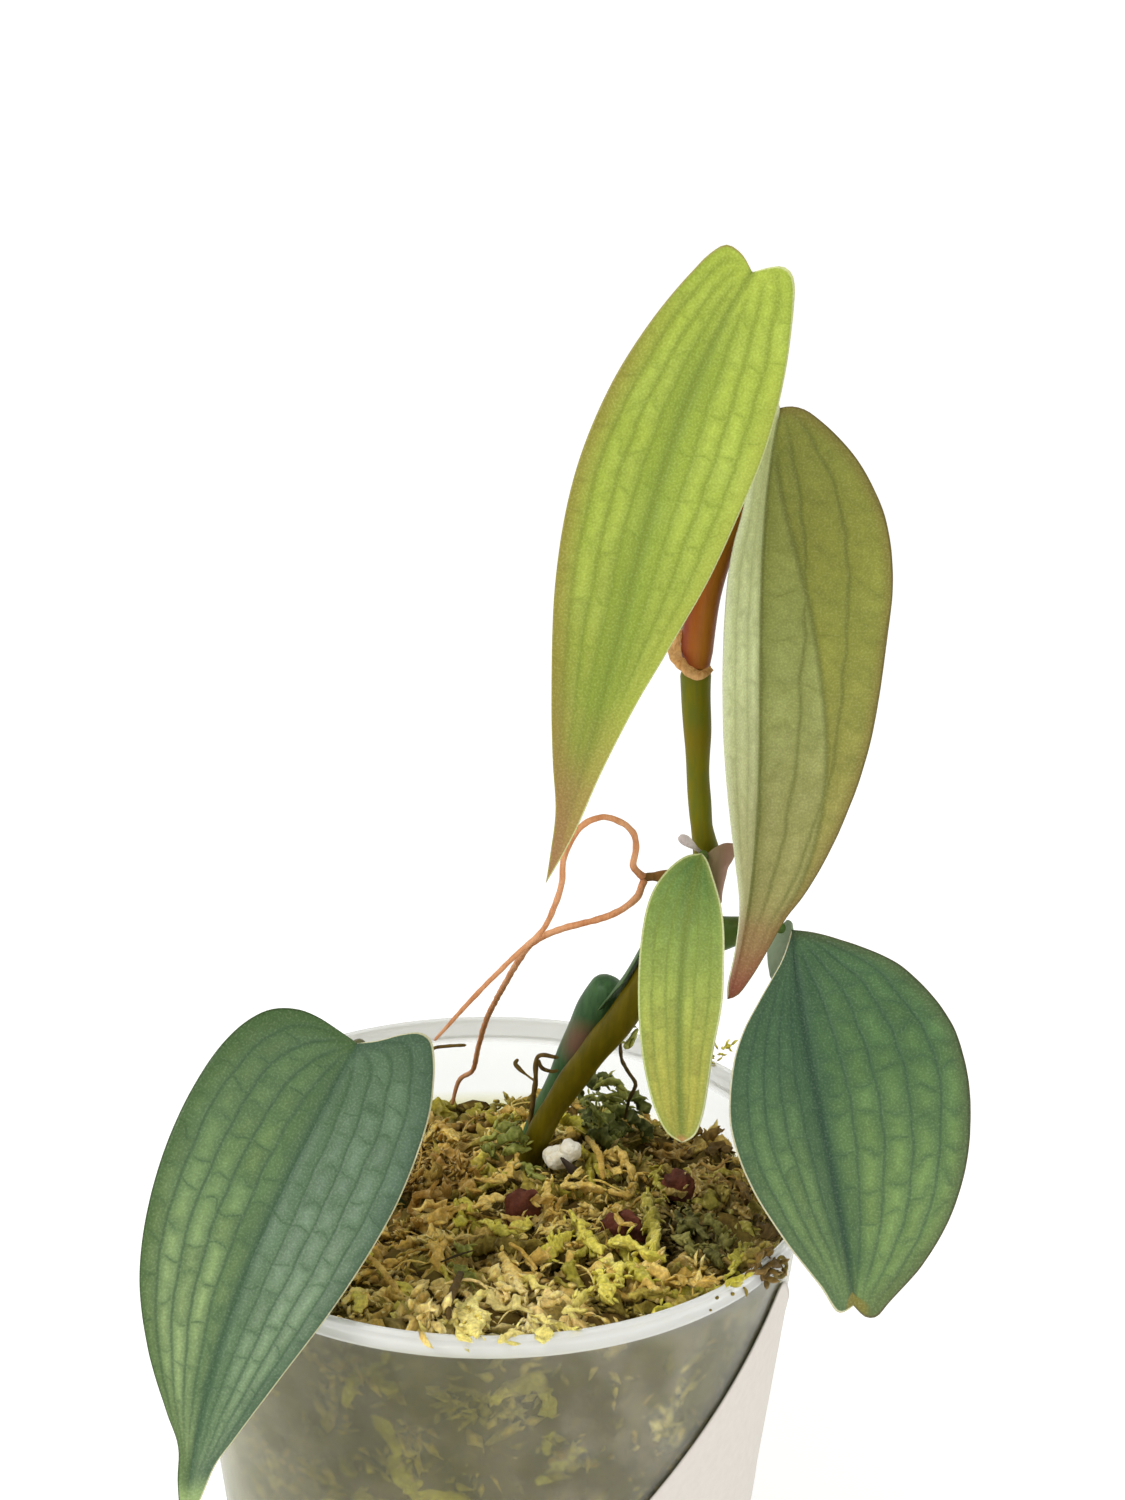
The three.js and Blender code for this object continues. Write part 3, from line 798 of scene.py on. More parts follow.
    def _cell_shade(self, add: Adder, at: dict[str, Value]) -> Value:
        """How bright each cell between the veins is, with a fine mottle.

        Args:
            add: adds a node to the material's tree.
            at: where on the blade a point lies.

        Returns:
            A factor for the colour.
        """
        corner = add("CombineXYZ", [at["row"], add("Math", [at["run"]], operation="FLOOR")])
        luck = add("TexWhiteNoise", {"Vector": corner}, noise_dimensions="2D")
        shade = add("Math", [luck, 2 * self.cell_spread, 1 - self.cell_spread], operation="MULTIPLY_ADD")
        mottle = add("Math", [at["mottle"], 0.5, 0.75], operation="MULTIPLY_ADD")
        return add("Math", [shade, mottle], operation="MULTIPLY")

    def _veins(self, add: Adder, at: dict[str, Value], wide: Value) -> Value:
        """How much of a vein or of painted shade a point is. Long veins are almost unbroken, cross ones fade in and
        out, and on a turned blade a painted dark line follows the crease.

        Args:
            add: adds a node to the material's tree.
            at: where on the blade a point lies.
            wide: 1 where the blade is wide, less in its narrow ends.

        Returns:
            A share.
        """
        long_vein = add("MapRange", [at["long_mm"], 0.0, self.vein_mm, self.vein_strength, 0.0], **EASE)
        cross_vein = add("MapRange", [at["cross_mm"], 0.0, 0.8 * self.vein_mm, self.cross_strength, 0.0], **EASE)
        faint = add("MapRange", [at["faint"], 0.38, 0.55], **EASE)
        cross_vein = add("Math", [cross_vein, faint], operation="MULTIPLY")
        vein = add("Math", [long_vein, cross_vein], operation="MAXIMUM")
        calm = add("Math", [at["is_left"], -self.left_smooth, 1.0], operation="MULTIPLY_ADD")
        vein = add("Math", [add("Math", [vein, wide], operation="MULTIPLY"), calm], operation="MULTIPLY")
        if not self.turned_slope:
            return vein
        # Painted shade: a dark line along the crease where the turned half folds
        crease_shade = add("Math", [add("Math", [at["beside"]], operation="ABSOLUTE"), at["half"]], operation="MULTIPLY")
        crease_shade = add("MapRange", [crease_shade, 0.0, 0.7, 0.6, 0.0], **EASE)
        begun = add("MapRange", [at["along"], 0.03, 0.12], **EASE)
        return add("Math", [vein, add("Math", [crease_shade, begun], operation="MULTIPLY")], operation="MAXIMUM")

    def _edges(self, add: Adder, at: dict[str, Value], wide: Value) -> list[tuple[Value, Value]]:
        """Painted shade in the fold beside the midrib, the midrib, the bands along the margins, the tip and the
        blade's pale rim.

        Args:
            add: adds a node to the material's tree.
            at: where on the blade a point lies.
            wide: 1 where the blade is wide, less in its narrow ends.

        Returns:
            Each layer's share and tone, the lowest first.
        """
        along, is_left, edge_mm = at["along"], at["is_left"], at["edge_mm"]
        # Painted shade: darker along the fold beside the midrib, where the blade dips
        fold = add("MapRange", [at["rib_mm"], 0.0, self.midrib_shade_mm, self.midrib_shade_share, 0.0], **EASE)
        fold = add("Math", [fold, add("MapRange", [along, 0.04, 0.2], **EASE)], operation="MULTIPLY")
        band = add("MapRange", [edge_mm, 0.1, self.band_mm, self.band_share, 0.0], **EASE)
        begun = add("MapRange", [along, self.band_start, self.band_start + 0.2], **EASE)
        tip = add("Math", [at["sway"], 0.12, along], operation="MULTIPLY_ADD")
        return [
            (add("Math", [fold, wide], operation="MULTIPLY"), self.painted_shade),
            (add("MapRange", [at["rib_mm"], 0.1, self.midrib_mm, 0.7, 0.0], **EASE), self.midrib),
            (add("Math", [band, begun], operation="MULTIPLY"),
             add("Mix", {"Factor": is_left, "A": self.right_band, "B": self.left_band}, data_type="RGBA")),
            (add("MapRange", [tip, self.tip_start, 0.985, 0.0, 0.92], **EASE), self.tip_tint),
            (add("MapRange", [edge_mm, self.margin_mm * 0.5, self.margin_mm, 0.85, 0.0], **EASE),
             add("Mix", {"Factor": is_left, "A": self.right_margin, "B": self.margin}, data_type="RGBA")),
        ]

    def material(self) -> bpy.types.Material:
        """Builds the upper face's material.

        Returns:
            The material.
        """
        material, add = new_material(self.name)
        at = self._places(add)
        colour = self.cell
        for share, tone in self._tones(add, at):
            colour = add("Mix", {"Factor": share, "A": colour, "B": tone}, data_type="RGBA")
        colour = add("VectorMath", {0: colour, "Scale": self._cell_shade(add, at)}, operation="SCALE")

        # The cells are pillowed between the veins, and painted shade darkens them towards the veins. Their velvet is
        # far finer than a pixel, so that blisters of 0.3 mm and pale specks of painted sheen stand for it, as fine as
        # the render can show.
        wide = add("MapRange", [at["half"], 1.0, 8.0, 0.3, 1.0], **EASE)
        pillow_shade = add("MapRange", [at["vein_mm"], 0.0, self.pillow_shade_mm, self.pillow_shade, 0.0], **EASE)
        vein = self._veins(add, at, wide)
        # Painted sheen: fine pale specks that stand for the velvet's glints
        painted_sheen = add("MapRange", [at["grain"], 0.5, 0.72, 0.0, self.painted_sheen], **EASE)
        for share, tone in (
                (add("Math", [pillow_shade, wide], operation="MULTIPLY"), self.painted_shade), (vein, self.vein),
                *self._edges(add, at, wide), (painted_sheen, "#C9D2BC")):
            colour = add("Mix", {"Factor": share, "A": colour, "B": tone}, data_type="RGBA")
        bright = add("MapRange", [at["grain"], 0.3, 0.7, 0.88, 1.1], **EASE)
        low = add("Math", [pillow_shade, 0.5, vein], operation="MULTIPLY_ADD")
        height = add("Math", [add("Math", [at["grain"], 0.25], operation="MULTIPLY"), low], operation="SUBTRACT")
        finish_surface(add, {
            "Base Color": add("VectorMath", {0: colour, "Scale": bright}, operation="SCALE"),
            "Roughness": self.roughness, "IOR": 1.42, "Specular IOR Level": 0.3,
            "Normal": add("Bump", {"Height": height, "Distance": 0.25 * MM, "Strength": 0.4}),
            "Subsurface Weight": 0.1, "Subsurface Radius": (0.6, 1.0, 0.3), "Subsurface Scale": 0.5 * MM,
        })
        return material

    def underside(self) -> bpy.types.Material:
        """Builds the paler, matt underside with raised veins.

        Returns:
            The material.
        """
        material, add = new_material(self.name + "_underside")
        across = add("SeparateXYZ", [add("UVMap", uv_map="share")]).outputs["X"]
        size = add("Math", [across], operation="ABSOLUTE")
        beat = add("Math", [add("Math", [size, self.veins], operation="MULTIPLY"), 0.5], operation="PINGPONG")
        raised = add("MapRange", [beat, 0.0, 0.2, 0.7, 0.0], **EASE)
        clouds = add("TexNoise", {"Vector": add("UVMap", uv_map="flat"), "Scale": 1 / 5.0, "Detail": 4.0})
        skin = add("Mix", {"Factor": clouds, "A": self.cell, "B": "#A9B48C"}, data_type="RGBA")
        colour = add("Mix", {"Factor": raised, "A": skin, "B": self.base_tint}, data_type="RGBA")
        bump = add("Bump", {"Height": raised, "Distance": 0.3 * MM, "Strength": 0.5})
        finish_surface(add, {
            "Base Color": colour, "Roughness": 0.6, "Normal": bump,
            "Subsurface Weight": 0.1, "Subsurface Radius": (0.6, 1.0, 0.3), "Subsurface Scale": 0.6 * MM,
        })
        return material


@dataclass(frozen=True)
class SkinFinish:
    """Stem, root, sheath or bark: two tones in streaks along the piece, with a third in blotches."""

    name: str
    tone: str
    streak: str
    blotch: str
    streak_mm: float = 0.8
    streak_length: float = 0.15
    blotch_mm: float = 5.0
    blotch_share: float = 0.6
    rough: float = 0.5
    bump_mm: float = 0.06
    grain_mm: float = 0.5
    zones: Sequence[tuple[float, str]] = ()
    zone_share: float = 0.8
    stain: tuple[float, float, float, float] = (0.0, 0.0, 0.0, 0.0)
    stain_tone: str = "#7A5448"
    gloss: float = 0.25

    def material(self) -> bpy.types.Material:
        """Builds the material from the piece's own place in space and, where it has zones, its UV map.

        Returns:
            The material.
        """
        material, add = new_material(self.name)
        place = add("TexCoord").outputs["Object"]
        stretched = add("Mapping", {"Vector": place, "Scale": (1.0, 1.0, self.streak_length)})
        streaks, blotches, grain = (
            add("TexNoise", {"Vector": spot, "Scale": 1 / (size_mm * MM), "Detail": 3.0})
            for spot, size_mm in ((stretched, self.streak_mm), (place, self.blotch_mm), (place, self.grain_mm)))
        mixes = [
            (add("MapRange", [streaks, 0.4, 0.62]), self.streak),
            (add("MapRange", [blotches, 0.45, 0.65, 0.0, self.blotch_share]), self.blotch),
        ]
        # Zones are tones across the piece: on the red sheath a painted highlight over the middle and painted shade at
        # the edges
        if self.zones:
            across = add("SeparateXYZ", [add("UVMap", uv_map="share")]).outputs["X"]
            ramp = add("ValToRGB", [add("MapRange", [across, -1.0, 1.0])])
            fill_ramp(ramp, self.zones)
            mixes.append((self.zone_share, ramp))
        *middle, reach = (c * MM for c in self.stain)
        if reach:
            away = add("VectorMath", [place, middle], operation="DISTANCE")
            mixes.append((add("MapRange", [away, reach, 0.3 * reach, 0.0, 0.8]), self.stain_tone))
        colour = self.tone
        for share, tone in mixes:
            colour = add("Mix", {"Factor": share, "A": colour, "B": tone}, data_type="RGBA")
        height = add("Math", [grain, streaks], operation="ADD")
        bump = add("Bump", {"Height": height, "Distance": self.bump_mm * MM, "Strength": 0.8})
        finish_surface(add, {
            "Base Color": colour, "Roughness": self.rough, "Normal": bump, "IOR": 1.42,
            "Specular IOR Level": self.gloss,
        })
        return material


@dataclass(frozen=True)
class MossFinish:
    """Dried sphagnum: papery leaflets, with painted shade at the root and pale at the tip, each strand in its own
    tint.
    """

    name: str
    tints: Sequence[tuple[float, str]]
    tip: str
    root: str = "#4A3812"
    spots: Sequence[tuple[float, float, float, str, float]] = ()
    spot_height: float = 74.0
    cloud_mm: float = 6.0
    grain_mm: float = 0.5

    def material(self) -> bpy.types.Material:
        """Builds the material from each strand's tint, each leaflet's tip share, the painted shade by depth under the
        bed and the spots of painted shade, painted light and browner patches.

        Returns:
            The material.
        """
        material, add = new_material(self.name)
        tint, tip, deep = (add("Attribute", attribute_name=name).outputs["Fac"] for name in ("tint", "tip", "deep"))
        place = add("TexCoord").outputs["Object"]
        clouds = add("TexNoise", {"Vector": place, "Scale": 1 / (self.cloud_mm * MM), "Detail": 4.0})
        grain = add("TexNoise", {"Vector": place, "Scale": 1 / (self.grain_mm * MM), "Detail": 3.0})
        drift = add("Math", [clouds, 1.2, -0.6], operation="MULTIPLY_ADD")
        colour = add("ValToRGB", [add("Math", [tint, 0.7, drift], operation="MULTIPLY_ADD")])
        fill_ramp(colour, self.tints)
        mixes = []
        for x, y, reach, tone, share in self.spots:
            middle = (x * MM, y * MM, self.spot_height * MM)
            away = add("VectorMath", [place, middle], operation="DISTANCE")
            near = add("MapRange", [away, reach * MM, 0.4 * reach * MM, 0.0, share], **EASE)
            mixes.append((near, tone))
        mixes += [
            # Painted shade: moss lying deep under the bed's surface is darkened
            (add("Math", [deep, 0.42], operation="MULTIPLY"), "#33270E"),
            # Painted shade at each leaflet's root, where it lies under its neighbours
            (add("MapRange", [tip, 0.0, 0.45, 0.35, 0.0]), self.root),
            (add("MapRange", [tip, 0.5, 1.0, 0.0, 0.35]), self.tip),
        ]
        for share, tone in mixes:
            colour = add("Mix", {"Factor": share, "A": colour, "B": tone}, data_type="RGBA")
        shade = add("MapRange", [grain, 0.35, 0.65, 0.93, 1.47])
        bump = add("Bump", {"Height": grain, "Distance": 0.25 * MM, "Strength": 0.7})
        finish_surface(add, {
            "Base Color": add("VectorMath", {0: colour, "Scale": shade}, operation="SCALE"), "Roughness": 0.7,
            "Specular IOR Level": 0.2, "Normal": bump, "Subsurface Weight": 0.4,
            "Subsurface Radius": (1.0, 0.85, 0.35), "Subsurface Scale": 0.5 * MM,
        })
        return material


@dataclass(frozen=True)
class FrostedPlastic:
    """Milky polypropylene, injection moulded: see-through but blurred, whiter in the thick rolled rim."""

    name: str = "frosted_polypropylene"
    rim_mm: float = 74.8
    moss_mm: tuple[float, float] = (68.5, 71.0)
    cloud_mm: float = 9.0
    patch_mm: float = 7.0
    grain_mm: float = 0.8

    def material(self) -> bpy.types.Material:
        """Builds the pot's material, with painted light that makes the wall lighter towards the right. Damp moss
        pressed on the wall tints it below moss_mm.

        Returns:
            The material.
        """
        material, add = new_material(self.name)
        place = add("TexCoord").outputs["Object"]
        x, y, z = add("SeparateXYZ", [place]).outputs
        clouds, pressed, grain = (
            add("TexNoise", {"Vector": place, "Scale": 1 / (size_mm * MM), "Detail": detail})
            for size_mm, detail in ((self.cloud_mm, 4.0), (self.patch_mm, 5.0), (self.grain_mm, 2.0)))
        # Painted light: the wall is lighter towards the right, as if lit from there
        wall = add("MapRange", [x, 0.0, 16 * MM])
        wall = add("Mix", {"Factor": wall, "A": "#DCDBAE", "B": "#FFFFE8"}, data_type="RGBA")
        patch = add("MapRange", [pressed, 0.45, 0.6, 0.0, 0.5])
        wall = add("Mix", {"Factor": patch, "A": wall, "B": "#AAAA5C"}, data_type="RGBA")
        lean = add("Math", [y, 0.11, z], operation="MULTIPLY_ADD")
        above = add("MapRange", [lean, *(height * MM for height in self.moss_mm)])
        below, beyond = (self.rim_mm - 0.4) * MM, (self.rim_mm + 0.2) * MM
        finish_surface(add, {
            "Base Color": add("Mix", {"Factor": above, "A": wall, "B": "#F5F7F5"}, data_type="RGBA"),
            "Specular IOR Level": 0.3, "Roughness": add("MapRange", [clouds, 0.0, 1.0, 0.16, 0.28]), "IOR": 1.4,
            "Transmission Weight": add("MapRange", [z, below, beyond, 0.93, 0.45]),
            "Normal": add("Bump", {"Height": grain, "Distance": 0.02 * MM, "Strength": 0.4}),
        })
        return material


@dataclass(frozen=True)
class PlainPaper:
    """Uncoated sticker paper: matt, warm off-white, with a faint fibre mottle."""

    name: str = "sticker_paper"
    fibre_mm: float = 1.2

    def material(self) -> bpy.types.Material:
        """Builds the sticker's material. Its fibres are drawn coarse enough to show.

        Returns:
            The material.
        """
        material, add = new_material(self.name)
        place = add("TexCoord").outputs["Object"]
        fibres = add("TexNoise", {"Vector": place, "Scale": 1 / (self.fibre_mm * MM), "Detail": 5.0})
        finish_surface(add, {
            "Base Color": add("Mix", {"Factor": fibres, "A": "#CCC6BF", "B": "#D9D4CD"}, data_type="RGBA"),
            "Roughness": 0.7, "Normal": add("Bump", {"Height": fibres, "Distance": 0.02 * MM, "Strength": 0.5}),
        })
        return material


def ring(radius: Array | float, z: Array | float, sides: int) -> Array:
    """Points round the pot's axis, at a radius and a height that may change round it."""
    turn = circle(sides)
    return np.stack([radius * np.cos(turn), radius * np.sin(turn), np.broadcast_to(z, sides)], -1)


def bake_modifiers(piece: bpy.types.Object) -> None:
    """Applies a piece's modifiers by swapping in its evaluated mesh.

    Args:
        piece: the object, which keeps its name.
    """
    graph = bpy.context.evaluated_depsgraph_get()
    mesh = bpy.data.meshes.new_from_object(piece.evaluated_get(graph), preserve_all_data_layers=True, depsgraph=graph)
    piece.modifiers.clear()
    old = piece.data
    piece.data = mesh
    mesh.name = piece.name
    bpy.data.meshes.remove(old)


@dataclass
class Pot:
    """The frosted nursery pot with its rolled rim, and the sticker on its wall."""

    height: float = 78.0
    rim_radius: float = 45.0
    rim_band: float = 3.2
    lip: float = 0.9
    overhang: float = 1.1
    wall: float = 0.9
    taper: float = 0.112
    floor: float = 1.2
    sides: int = 192
    drain_holes: int = 8
    drain_radius: float = 2.8
    drain_ring: float = 27.0
    drain_sides: int = 24
    label_length: float = 46.0
    label_width: float = 36.0
    label_corner: tuple[float, float] = (-16.5, 70.0)
    label_slant: float = 44.5
    label_gap: float = 0.12
    label_thickness: float = 0.2
    label_round: float = 2.5
    label_curl: tuple[float, float] = (0.12, 1.5)
    label_points: int = 61

    def wall_radius(self, z: Array | float) -> Array | float:
        """Outer radius of the wall at a height."""
        return self.rim_radius - self.overhang - self.taper * (self.height - z)

    def inner_radius(self, z: Array | float) -> Array | float:
        """Inner radius of the wall at a height."""
        return self.wall_radius(z) - self.wall

    def profile(self) -> list[tuple[float, float]]:
        """Outline of the wall, from the floor's underside round to its top.

        Returns:
            Places as (radius, height).
        """
        top, foot = self.height, self.height - self.rim_band
        half_lip = self.lip / 2
        bead = [
            (self.rim_radius - half_lip + half_lip * math.cos(angle), top - half_lip + half_lip * math.sin(angle))
            for angle in np.radians(np.linspace(-50, 180, 14))]
        outside = [(self.wall_radius(z), z) for z in np.linspace(1.2, foot - 0.4, 14)]
        step = [
            (self.wall_radius(foot), foot - 0.15), (self.wall_radius(foot) + 0.3, foot),
            (self.rim_radius - 0.4, foot + 0.05), (self.rim_radius - 0.05, foot + 0.35),
            (self.rim_radius, foot + 0.8), (self.rim_radius - 0.18, foot + 1.5),
        ]
        inside = [(self.inner_radius(z), z) for z in np.linspace(foot, self.floor + 0.8, 14)]
        return [
            (0.0, 0.4), (12.0, 0.4), (13.0, 0.0), (self.wall_radius(0) - 1.2, 0.0), (self.wall_radius(0) - 0.3, 0.3),
            *outside, *step, *bead, (self.rim_radius - self.lip, top - 1.2), *inside,
            (self.inner_radius(self.floor) - 0.8, self.floor), (0.0, self.floor),
        ]

    def build_pot(self) -> bpy.types.Object:
        """Turns the wall and drills the drain holes.

        Returns:
            The pot.
        """
        (_, under), *outline, (_, over) = self.profile()
        points = [ring(radius, z, self.sides) for radius, z in outline]
        made = build_mesh(
            "frosted_pot", np.vstack([*points, [[0, 0, under], [0, 0, over]]]), capped_faces(len(points), self.sides))
        orient(made)
        self._drill(made)
        return made

    def _drill(self, pot: bpy.types.Object) -> None:
        """Cuts the ring of drain holes through the floor.

        Args:
            pot: the pot.
        """
        sides = self.drain_sides
        faces = grid_faces(2, sides, closed=True) + [list(range(sides - 1, -1, -1)), list(range(sides, 2 * sides))]
        rods = []
        for angle in circle(self.drain_holes):
            middle = [self.drain_ring * math.cos(angle), self.drain_ring * math.sin(angle), 0]
            ends = [ring(self.drain_radius, z, sides) + middle for z in (-self.floor, 2 * self.floor)]
            rods.append((np.vstack(ends), faces))
        cutter = build_mesh("drain_cutter", *join_shapes(rods), smooth=False)
        orient(cutter)
        cut = pot.modifiers.new("drains", "BOOLEAN")
        cut.operation, cut.solver, cut.object = "DIFFERENCE", "EXACT", cutter
        bake_modifiers(pot)
        bpy.data.objects.remove(cutter)

    def build_label(self) -> bpy.types.Object:
        """Rolls the rounded oblong sticker round the wall, with its edges a little off it.

        Returns:
            The sticker.
        """
        turn = math.radians(self.label_slant)
        down = np.array([-math.cos(turn), -math.sin(turn)])
        across = np.array([math.sin(turn), -math.cos(turn)])
        share = np.linspace(0, 1, self.label_points)
        a, b = np.meshgrid(share, share, indexing="ij")
        x, y = self._rounded(a * self.label_length, b * self.label_width)
        arc = self.label_corner[0] + x * down[0] + y * across[0]
        z = self.label_corner[1] + x * down[1] + y * across[1]
        angle = arc / self.wall_radius(self.height / 2)
        to_edge = np.minimum(np.minimum(x, self.label_length - x), np.minimum(y, self.label_width - y))
        most, span = self.label_curl
        lift = most * np.clip(1 - to_edge / span, 0, 1)
        shells = []
        for offset in (self.label_thickness, 0.0):
            reach = self.wall_radius(z) + self.label_gap + lift + offset
            shells.append(np.stack([reach * np.cos(angle), reach * np.sin(angle), z], -1).reshape(-1, 3))
        made = build_mesh("paper_label", np.vstack(shells), shell_faces(self.label_points, self.label_points))
        orient(made)
        return made

    def _rounded(self, x: Array, y: Array) -> tuple[Array, Array]:
        """Pulls the points near each corner of the sheet in onto a rounded corner.

        Args:
            x: how far along the sheet each point lies.
            y: how far across it.

        Returns:
            The same, pulled in.
        """
        r = self.label_round
        cx = np.clip(x, r, self.label_length - r)
        cy = np.clip(y, r, self.label_width - r)
        dx, dy = x - cx, y - cy
        reach = np.maximum(np.abs(dx), np.abs(dy))
        length = np.maximum(np.hypot(dx, dy), 1e-9)
        in_corner = (np.abs(dx) > 1e-9) & (np.abs(dy) > 1e-9)
        scale = np.where(in_corner, reach / length, 1.0)
        return cx + dx * scale, cy + dy * scale

    def build(self) -> None:
        """Builds and dresses the pot and its sticker."""
        settle(self.build_pot(), FrostedPlastic().material(), "pot_plastic", "pot")
        settle(self.build_label(), PlainPaper().material(), "label_paper", "label")


